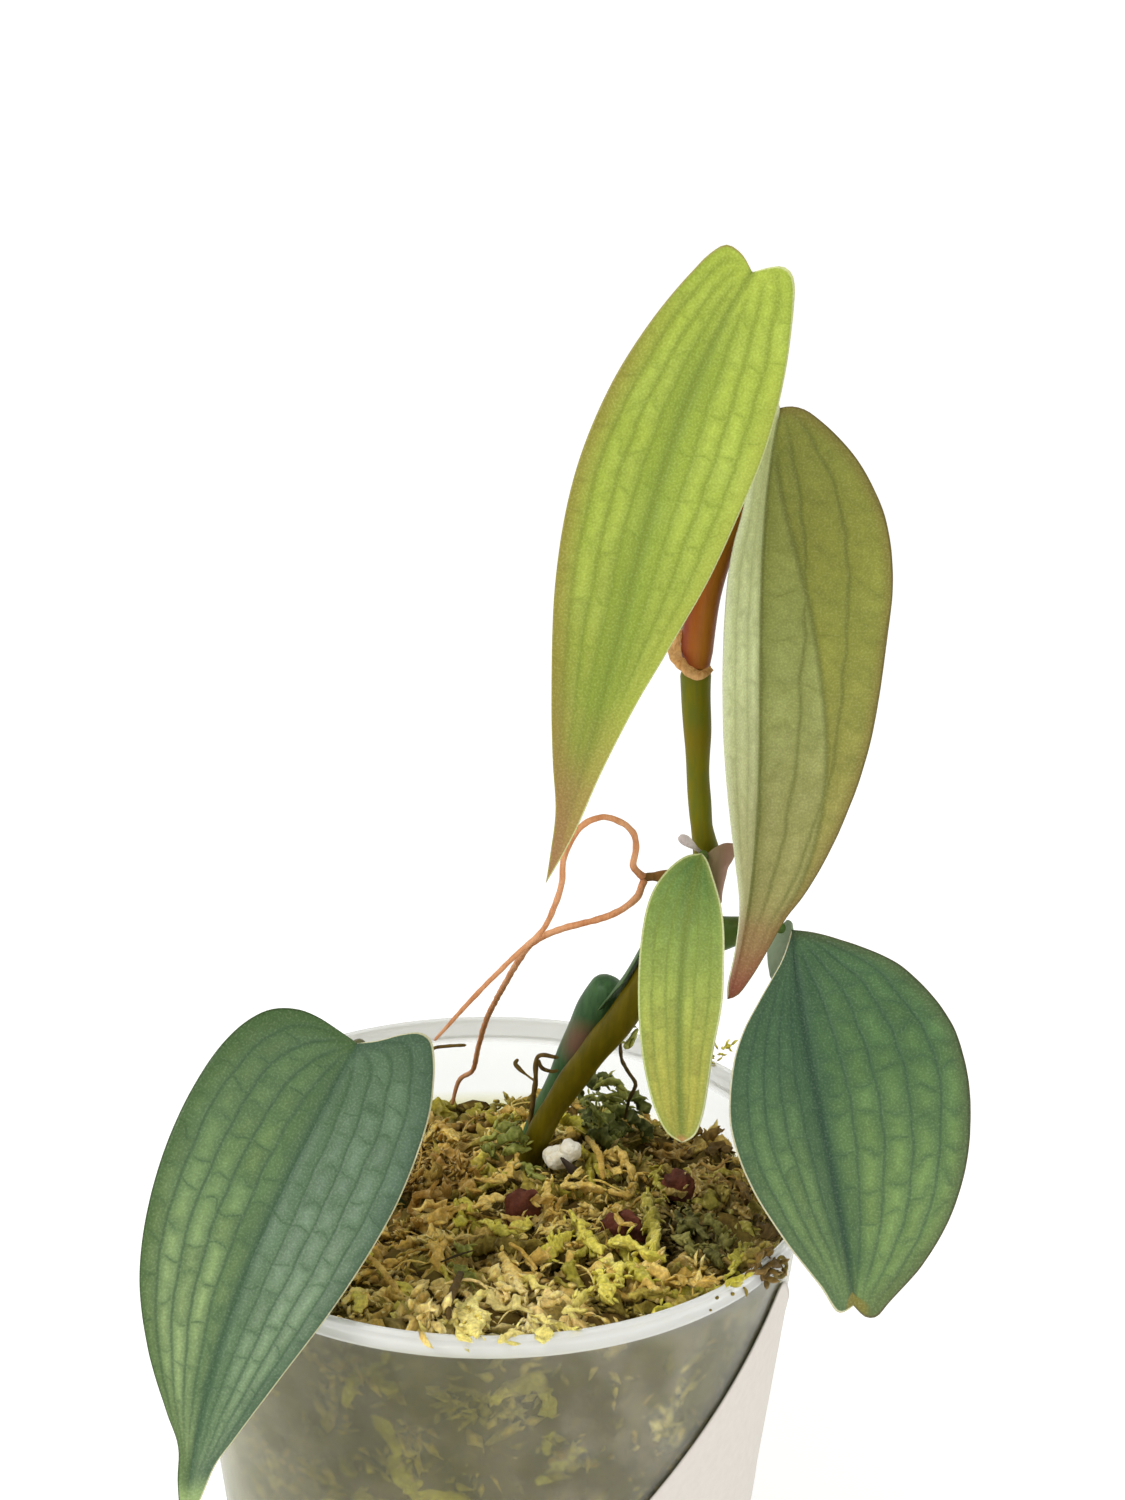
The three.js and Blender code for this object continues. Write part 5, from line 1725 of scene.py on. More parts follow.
    @staticmethod
    def scatter_tree() -> bpy.types.NodeTree:
        """Builds the tree that scatters a group of prototypes over a surface.

        Returns:
            The tree. Its inputs are the group, the density, the seed, the sizes, the tilt and the material.
        """
        tree = bpy.data.node_groups.new("scatter_moss", "GeometryNodeTree")
        for name, kind in (
                ("Geometry", "Geometry"), ("Group", "Collection"), ("Per Square Metre", "Float"), ("Seed", "Int"),
                ("Smallest", "Float"), ("Largest", "Float"), ("Tilt", "Float"), ("Material", "Material")):
            tree.interface.new_socket(name, in_out="INPUT", socket_type="NodeSocket" + kind)
        tree.interface.new_socket("Geometry", in_out="OUTPUT", socket_type="NodeSocketGeometry")
        add = partial(add_node, tree)
        given = add("NodeGroupInput").outputs
        seed, tilt = given["Seed"], given["Tilt"]
        dots = add("GeometryNodeDistributePointsOnFaces", {
            "Mesh": given["Geometry"], "Density": given["Per Square Metre"], "Seed": seed})
        members = add("GeometryNodeCollectionInfo", {
            "Collection": given["Group"], "Separate Children": True, "Reset Children": True})
        low = add("Math", [tilt, -1.0], operation="MULTIPLY")
        turn = add("FunctionNodeRandomValue", {
            0: add("CombineXYZ", [low, low]), 1: add("CombineXYZ", [tilt, tilt, FULL_TURN]), "Seed": seed},
            data_type="FLOAT_VECTOR")
        turned = add("FunctionNodeRotateRotation", [
            dots.outputs["Rotation"], add("FunctionNodeEulerToRotation", [turn])], rotation_space="LOCAL")
        size = add("FunctionNodeRandomValue", {2: given["Smallest"], 3: given["Largest"], "Seed": seed},
                   data_type="FLOAT")
        placed = add("GeometryNodeInstanceOnPoints", {
            "Points": dots, "Instance": members, "Pick Instance": True, "Rotation": turned, "Scale": size})
        shade = add("FunctionNodeRandomValue", {2: 0.0, 3: 1.0, "Seed": 77}, data_type="FLOAT")
        tinted = add("GeometryNodeStoreNamedAttribute", {"Geometry": placed, "Name": "tint", "Value": shade},
                     data_type="FLOAT", domain="INSTANCE")
        real = add("GeometryNodeRealizeInstances", [tinted])
        add("NodeGroupOutput", [add("GeometryNodeSetMaterial", {"Geometry": real, "Material": given["Material"]})])
        return tree

    def scatter(self, name: str, ground: bpy.types.Object, tree: bpy.types.NodeTree, group: bpy.types.Collection,
                material: bpy.types.Material, density: float, sizes: tuple[float, float], tilt: float,
                seed: int) -> bpy.types.Object:
        """Scatters a group over a ground mesh and keeps the result as a plain mesh.

        Args:
            name: the piece's name.
            ground: the surface, which stays as it is.
            tree: the scatter tree.
            group: the prototypes.
            material: the finish.
            density: copies a square centimetre.
            sizes: smallest and largest scale.
            tilt: largest lean off the surface, in radians.
            seed: picks the scatter.

        Returns:
            The piece, pushed inside the pot's wall.
        """
        made = bpy.data.objects.new(name, ground.data.copy())
        bpy.context.scene.collection.objects.link(made)
        modifier = made.modifiers.new("scatter", "NODES")
        modifier.node_group = tree
        keys = {item.name: item.identifier for item in tree.interface.items_tree if item.in_out == "INPUT"}
        values = {"Group": group, "Per Square Metre": density * 1e4, "Seed": seed, "Smallest": sizes[0],
                  "Largest": sizes[1], "Tilt": tilt, "Material": material}
        for label, value in values.items():
            modifier[keys[label]] = value
        bake_modifiers(made)
        self.press_inside(made)
        made.data.polygons.foreach_set("use_smooth", [True] * len(made.data.polygons))
        return made

    def press_inside(self, piece: bpy.types.Object) -> None:
        """Presses moss back inside the wall and off the clearings, and stores how far under the bed's surface it
        lies, for painted shade.

        Args:
            piece: the moss.
        """
        mesh = piece.data
        places = read_places(mesh) / MM
        radius = np.maximum(np.hypot(places[:, 0], places[:, 1]), 1e-6)
        most = self.limit(np.clip(places[:, 2], 2, self.pot.height))
        over, soft = radius / most, 0.03
        free = 1 - soft
        squeezed = np.where(over > free, free + soft * (1 - np.exp(-(over - free) / soft)), over)
        places[:, :2] *= (squeezed * most / radius)[:, None]
        places[:, 2] = np.maximum(places[:, 2], self.pot.floor + 0.2)
        for x, y, reach, top in self.clearings:
            away = np.hypot(places[:, 0] - x, places[:, 1] - y)
            places[:, 2] = np.minimum(places[:, 2], top + 2.5 * np.maximum(away - reach, 0))
        mesh.vertices.foreach_set("co", (places * MM).ravel())
        mesh.update()
        below = self.smooth_height(places[:, 0], places[:, 1]) - places[:, 2]
        write_floats(mesh, "deep", np.clip(0.5 * below - 0.1, 0, 1) * (below < 9))

    def top_ground(self, drop: float, reach: float = 1.0) -> bpy.types.Object:
        """Lays a sheet along the bed's surface to scatter on.

        Args:
            drop: how far under the surface it lies.
            reach: share of the bed's radius that it covers.

        Returns:
            The sheet.
        """
        rings = []
        for share in np.linspace(0.02, reach, 40):
            x, y, _ = ring(share * self.limit(self.level), 0, self.ground_sides).T
            rings.append(np.stack([x, y, self.height_at(x, y) - drop], -1))
        return build_mesh("moss_ground", np.vstack(rings), grid_faces(len(rings), self.ground_sides, closed=True))

    def side_ground(self, inset: float) -> bpy.types.Object:
        """Stands a sheet along the bed's side to scatter on.

        Args:
            inset: how far from the wall it stands.

        Returns:
            The sheet.
        """
        foot = self.pot.floor + 3
        x, y, _ = ring(self.limit(self.level), 0, self.ground_sides).T
        heights = [foot + share * (self.smooth_height(x, y) - 3.5 - foot) for share in np.linspace(0, 1, 30)]
        points = np.vstack([ring(self.limit(z) - inset, z, self.ground_sides) for z in heights])
        return build_mesh("moss_side_ground", points, grid_faces(len(heights), self.ground_sides, closed=True))

    def build_laid(self, skins: dict[str, bpy.types.Material]) -> None:
        """Lays the branches that stand out, the twigs and stalks among them and the specks on the rim.

        Args:
            skins: the finish for each tone of moss.
        """
        for seed, (tone, rows) in enumerate(LAID_BRANCHES.items()):
            settle(self.lay_ribbons(f"moss_{tone}_branches", rows, 61 + 20 * seed), skins[tone], "sphagnum")
        settle(self.lay_ribbons("green_moss_clump", LAID_CLUMP, 71), skins["green"], "green_moss", "moss_clump")
        settle(self.lay_strands("moss_sprigs", LAID_SPRIGS, 1.9, 0.8, 2.6, 63, 0.1), skins["lime"], "sphagnum")
        papery = self.lay_strands("moss_papery_leaves", LAID_PAPERY, 3.2, 0.9, 1.3, 69, 0.4)
        settle(papery, skins["straw"], "sphagnum")
        for name, tone, tubes in LAID_STALKS:
            for index, (radius, *path) in enumerate(tubes):
                radii = [0.8 * radius, radius, radius, 0.6 * radius]
                tube = Tube(path, radii, sides=8, rings=36, wobble=0.16, wavelength=1.4, seed=index)
                made = tube.mesh(f"{name}_{index}")
                write_floats(made.data, "tip", 0.5)
                write_floats(made.data, "tint", 0.25)
                settle(made, skins[tone], "sphagnum")

    @staticmethod
    def finishes() -> dict[str, MossFinish]:
        """The moss's finish for each of its tones.

        Returns:
            Finishes by tone.
        """
        # Spots: painted shade in the hollows at (20, 16) and (-0.8, -18) and on the right at (31, -8), a painted pool
        # of light at the front at (2, -38), and the other three browner patches
        shade_light_and_patches = (
            (31, -8, 17, "#463C1C", 0.66), (20, 16, 9, "#3E3416", 0.7), (-0.8, -18, 5, "#33280F", 0.5),
            (-8, 28, 13, "#86682A", 0.5), (30, 10, 12, "#5A4020", 0.55), (-13, 2, 16, "#75521A", 0.7),
            (2, -38, 16, "#EEDC9E", 0.5))
        # Dry tufts are papery: pale beige or lime in the light, tan in the folds. Damp moss is darker: olive, then
        # grey-green and brown. The fresh green is the clump's, which still grows.
        return {
            "straw": MossFinish("dry_sphagnum_straw", (
                (0.0, "#967630"), (0.25, "#BE9E4C"), (0.5, "#DABE6A"), (0.75, "#E8D286"), (1.0, "#F0DEA0")),
                "#F4E0A8", root="#7C5E24", spots=shade_light_and_patches),
            "lime": MossFinish("dry_sphagnum_lime", (
                (0.0, "#8E862C"), (0.3, "#B0A83C"), (0.55, "#CAC052"), (0.8, "#DCD068"), (1.0, "#E6DC82")),
                "#E8DC9A", root="#6A6024", spots=shade_light_and_patches),
            "olive": MossFinish("damp_sphagnum_olive", (
                (0.0, "#564818"), (0.3, "#84742E"), (0.6, "#A89842"), (0.85, "#C0B258"), (1.0, "#D0C474")),
                "#CEBE6E", root="#4A3A10", spots=shade_light_and_patches),
            "grey": MossFinish("damp_sphagnum_grey_green", (
                (0.0, "#383814"), (0.3, "#565426"), (0.6, "#706C34"), (1.0, "#969052")), "#A8A268", root="#2A260E"),
            "green": MossFinish("fresh_green_sphagnum", (
                (0.0, "#3E441A"), (0.35, "#646A2A"), (0.65, "#8C9046"), (1.0, "#B0B462")), "#BCBE7C", root="#384414"),
            "brown": MossFinish("brown_sphagnum", (
                (0.0, "#2E2710"), (0.35, "#5A461E"), (0.7, "#7E6430"), (1.0, "#A08446")), "#A88C54", root="#2A1E0A"),
        }

    def build(self) -> None:
        """Builds and dresses the whole bed."""
        rng = np.random.default_rng(self.seed)
        shade = SkinFinish(
            "moss_shade", "#54411A", "#6E5A26", "#746A30", streak_mm=1.6, streak_length=1.0, blotch_mm=6, rough=0.9,
            bump_mm=0.6, grain_mm=1.2)
        settle(self.build_core(), shade.material(), "sphagnum", "moss_bed")
        strands = self.collect("strands", [
            self.strand(f"strand_{i}", rng.uniform(8, 14), int(rng.integers(26, 34)), rng.uniform(1.9, 2.4),
                        rng.uniform(0.2, 0.35), rng) for i in range(9)])
        papery = self.collect("papery_sprays", [
            self.strand(f"spray_{i}", rng.uniform(3, 5), 10, rng.uniform(3.0, 4.0), 0.65, rng, slim=0.7)
            for i in range(5)])
        coarse = self.collect("coarse_strands", [
            self.strand(f"coarse_{i}", rng.uniform(8, 13), 14, 4.0, 0.4, rng, rings=1) for i in range(5)])
        ribbons = self.collect("ribbons", [
            self.ribbon(f"ribbon_{i}", rng.uniform(6, 12), rng.uniform(1.7, 2.8), rng) for i in range(9)])
        fibres = self.collect("fibres", [
            self.fibre(f"fibre_{i}", rng.uniform(7, 15), rng.uniform(0.1, 0.2), rng) for i in range(5)])
        tree = self.scatter_tree()
        low, middle, high = self.top_ground(2.1), self.top_ground(1.0), self.top_ground(0.3, 0.9)
        side = self.side_ground(1.3)
        skins = {tone: finish.material() for tone, finish in self.finishes().items()}
        plan = (
            ("moss_olive_strands", low, strands, "olive", 1.0, (0.8, 1.1), 0.2),
            ("moss_straw_strands", middle, strands, "straw", 1.3, (0.7, 1.0), 0.2),
            ("moss_olive_ribbons", low, ribbons, "olive", 2.0, (0.9, 1.3), 0.3),
            ("moss_straw_ribbons", middle, ribbons, "straw", 2.4, (0.8, 1.2), 0.3),
            ("moss_lime_ribbons", high, ribbons, "lime", 0.8, (0.8, 1.1), 0.3),
            ("moss_papery_sprays", high, papery, "straw", 1.6, (0.5, 0.8), 0.25),
            ("moss_fibres", high, fibres, "straw", 1.6, (0.6, 1.0), 0.3),
            ("moss_side_straw", side, coarse, "straw", 1.8, (0.8, 1.3), 0.12),
            ("moss_side_olive", side, coarse, "olive", 2.8, (0.8, 1.2), 0.12),
            ("moss_side_ribbons", side, ribbons, "lime", 0.6, (1.3, 1.9), 0.12),
        )
        for index, (name, ground, group, tone, density, sizes, tilt) in enumerate(plan):
            made = self.scatter(name, ground, tree, group, skins[tone], density, sizes, tilt, self.seed + index)
            settle(made, skins[tone], "sphagnum")
        self.build_laid(skins)
        for helper in (low, middle, high, side, *self.protos):
            bpy.data.objects.remove(helper)


@dataclass
class Foliage:
    """The five blades with their own finishes."""

    def blades(self) -> list[tuple[Blade, LeafFinish]]:
        """The blades and how each looks.

        Returns:
            Pairs of a blade and its finish.
        """
        top = Blade(
            "leaf_top", [[31.3, 2, 199.2], [17.1, -3.3, 176.5], [16.9, -15.7, 151.2], [7.2, -20, 126.7]],
            (0, -1, 0.2), (8, 8),
            [(0, 0), (-1.1, 2.3), (-1, 4.5), (1, 5.7), (3.5, 6.4), (11, 8.2), (20, 9.8), (31, 10.5),
             (43.5, 9.4), (57.5, 6.4), (65, 4.2), (71, 2), (76, 0.9), (80, 0)],
            [(0, 0), (-1.5, 1.4), (-2.5, 2.8), (-2.4, 4.1), (-1.2, 5.4), (2.2, 7.2), (7.6, 9.2), (14, 10.6),
             (21.5, 11.1), (29, 10.5), (38.5, 9), (49, 6), (56, 3.9), (65, 2), (73, 1.1), (80, 0)],
            veins=4.0, groove=0.12, pucker=0.05)
        upper_right = Blade(
            "leaf_upper_right", [[36.1, 8, 181.6], [31.2, 1, 157.7], [38.3, -3, 130.8], [31, -12, 107.8]],
            (0.2, -1, 0), (45, 5),
            [(0, 0), (-1, 1.5), (0, 3), (5, 4.2), (13.7, 5.8), (19.7, 8.2), (29, 9.6), (38, 9.8),
             (45, 9.2), (53, 7.4), (59, 5.1), (65, 2.4), (70.5, 1.4), (75.5, 1), (77.4, 0)],
            [(0, 0), (-0.5, 1.3), (-0.5, 3.3), (0.7, 6.1), (2.8, 9.1), (5.2, 11.5), (8.8, 13.9), (13.2, 15.9),
             (21.5, 17.3), (31, 16.6), (45, 14.3), (56, 10.5), (62.6, 7.3), (66, 5.2), (70, 3.7), (74, 2.3),
             (76.6, 1.1), (77.4, 0)],
            veins=3.0, groove=0.1, pucker=0.02, seed=8)
        small = Blade(
            "leaf_small", [[27.5, -4, 125], [23.9, -10.6, 114.8], [24.6, -16.2, 103], [25.3, -20, 91.1]],
            (0, -1, 0.3), (8, 8),
            [(0, 0), (1, 1.9), (3, 3.6), (5.3, 4.8), (8, 5.5), (15, 5.7), (24, 5.2), (29, 4.5), (33.4, 3.4),
             (36.5, 1.9), (37.9, 0)],
            [(0, 0), (0.7, 0.9), (3, 2.4), (6, 3.9), (9.5, 4.9), (14, 5.4), (19.5, 5.5), (26, 4.4),
             (34.5, 2.8), (37, 1.6), (37.9, 0)],
            veins=3.0, groove=0.15, pucker=0.05, wave=0.15, columns=18, rows=80, seed=14)
        left = Blade(
            "leaf_left", [[-16.4, -20, 104.5], [-24, -36.6, 93.8], [-33.8, -48.3, 77.1], [-34.1, -56, 57]],
            (0, -1, 0.4), (8, 8),
            [(0, 0), (-0.2, 2.8), (-0.3, 6), (0.2, 8.8), (2.2, 11.8), (5.3, 13.7), (10, 15), (18.2, 15.4),
             (27.5, 14.3), (36, 11.9), (43, 8.3), (49.4, 4.1), (53, 1.9), (57, 1.3), (63.6, 0)],
            [(0, 0), (-1.5, 2.3), (-3.6, 4.6), (-4.8, 6.6), (-4.5, 8.1), (-2.5, 9.6), (1, 11.1), (5, 12.4),
             (13, 13.5), (20.4, 13.5), (32, 11.6), (43, 8), (51, 4.6), (54.2, 3), (58, 1.9), (63.6, 0)],
            veins=5.0, groove=0.2, pucker=0.09, seed=20)
        right = Blade(
            "leaf_right", [[39.6, -5, 114.8], [40.2, -16.4, 103.3], [44.7, -27, 91.2], [46.4, -35, 77]],
            (0.2, -1, 0.5), (10, 10),
            [(0, 0), (1.6, 0.5), (4.4, 1.8), (7, 3.6), (10.3, 6.1), (13.8, 8.7), (18, 10.9), (25.2, 12.7),
             (32.4, 11.6), (40, 8.1), (46, 4.2), (49.3, 2.2), (49.2, 1), (48.7, 0)],
            [(0, 0), (0.5, 3.2), (1.8, 7), (3.6, 10.6), (5.8, 13.6), (9, 16), (15.6, 19), (23.5, 19.6),
             (32, 17.8), (39, 14.3), (44.6, 9.5), (48.6, 4.6), (50.3, 2.6), (50.2, 1.4), (48.7, 0)],
            veins=5.0, groove=0.15, pucker=0.08, seed=26)
        return [
            # Young and thin: lime, with painted shade in olive along its midrib and a long brown tip
            (top, LeafFinish(
                "young_leaf_lime", cell="#A4B648", painted_shade="#7A8E2E", patch="#BACC64",
                vein="#718123", midrib="#76872D", base_tint="#AEBE44",
                tip_tint="#98724A", margin="#98904A", right_margin="#C3C98C", left_band="#857230",
                right_band="#A1AB44", left_tone_and_light="#9AA83C", right_tone_and_light="#A8B84D",
                end_tint="#8E8C40", end_share=0.85, band_mm=3.4, band_start=0.1,
                band_share=0.65, veins=4.0, brick_mm=6.0, vein_mm=0.5, cross_strength=0.26, vein_strength=0.45,
                pillow_shade=0.5, pillow_shade_mm=1.8, midrib_shade_mm=4.6, midrib_shade_share=0.8, tip_start=0.7, base_share=0.4,
                patch_share=0.75, cell_spread=0.07, roughness=0.5)),
            # Young and half turned: a pale left half in the light, an olive right half in shade
            (upper_right, LeafFinish(
                "young_leaf_olive", cell="#868836", painted_shade="#6A7028", patch="#929844",
                vein="#5B6022", midrib="#63682A", base_tint="#838836",
                tip_tint="#874935", margin="#D3D7B4", right_margin="#6E5E36", left_band="#DEE5BE",
                right_band="#78602E", turned_slope=1.03, turned_sheen="#98A464", left_smooth=0.7,
                left_tone_and_light="#D3DCA6", right_tone_and_light="#868B39",
                left_share=0.95, right_share=0.3, end_tint="#9D8A5A", end_share=0.55, band_mm=2.0, band_share=0.5,
                veins=3.0, brick_mm=6.0, vein_mm=0.5, cross_strength=0.14, vein_strength=0.5, pillow_shade=0.3,
                pillow_shade_mm=2.4, midrib_shade_mm=1.6, midrib_shade_share=0.3, tip_start=0.8, midrib_mm=0.5, cell_spread=0.05,
                roughness=0.5)),
            # Small and smooth: mid green, dark at its foot and yellow at its end
            (small, LeafFinish(
                "small_leaf_green", cell="#95A652", painted_shade="#84963F", patch="#A0AE58",
                vein="#728435", midrib="#6C7E34", base_tint="#50763C", tip_tint="#B98A52",
                margin="#C8CE92", right_margin="#E2E5B4", margin_mm=0.3, left_band="#839545",
                right_band="#9AA858", left_tone_and_light="#8B9E48", right_tone_and_light="#90A14C",
                end_tint="#B4AC4C", end_share=0.9, band_mm=1.0, veins=3.0, brick_mm=3.2, cross_strength=0.3,
                vein_strength=0.55, pillow_shade=0.4, midrib_shade_mm=1.2, midrib_shade_share=0.3, tip_start=0.95, base_share=0.95,
                base_reach=0.55, roughness=0.42)),
            # Mature and leathery: blue-green pillows between dark sunk veins; its bluish right half is a painted
            # reflection
            (left, LeafFinish(
                "mature_leaf_blue_green", cell="#6C835E", painted_shade="#4A6644",
                patch="#789052", vein="#365039", midrib="#39563C",
                base_tint="#425C3E", tip_tint="#A0B878", margin="#41562F", right_margin="#D8D4AC",
                left_band="#415B30", right_band="#3E5642", left_tone_and_light="#6E8A50",
                right_tone_and_light="#788E7A", right_share=0.8, end_tint="#B8CC8C", end_share=0.9, end_right=0.35,
                band_mm=3.8, band_share=0.72, tip_start=0.88, base_share=0.6, cell_spread=0.15,
                vein_strength=0.55, cross_strength=0.36, pillow_shade=0.65, pillow_shade_mm=1.7, midrib_shade_mm=4.4, midrib_shade_share=0.75,
                roughness=0.42)),
            # Mature, in shade: deep green pillows, lighter towards the end
            (right, LeafFinish(
                "mature_leaf_green", cell="#4C6A40", painted_shade="#34523A",
                patch="#5E8054", vein="#2A4538", midrib="#2C4634",
                base_tint="#3D5941", tip_tint="#7A7436", margin="#D6D2B0", right_margin="#5A5538", brick_mm=4.4,
                left_band="#3F573E", right_band="#515B3A", left_tone_and_light="#50704A",
                right_tone_and_light="#62844C", left_share=0.7, end_tint="#92AC62", end_share=0.75, band_mm=2.6,
                band_share=0.6, tip_start=0.975,
                vein_strength=0.4, cross_strength=0.18, pillow_shade=0.55, pillow_shade_mm=2.2, midrib_shade_mm=4.6, midrib_shade_share=0.75,
                roughness=0.42)),
        ]

    def build(self) -> None:
        """Builds and dresses the blades."""
        slots = {"leaf_top": "leaf_top", "leaf_upper_right": "leaf_olive", "leaf_small": "leaf_small",
                 "leaf_left": "leaf_left", "leaf_right": "leaf_right"}
        for blade, finish in self.blades():
            made = blade.mesh()
            made.data.materials.append(finish.material())
            made.data.materials.append(finish.underside())
            settle(made, None, slots[blade.name], blade.name)


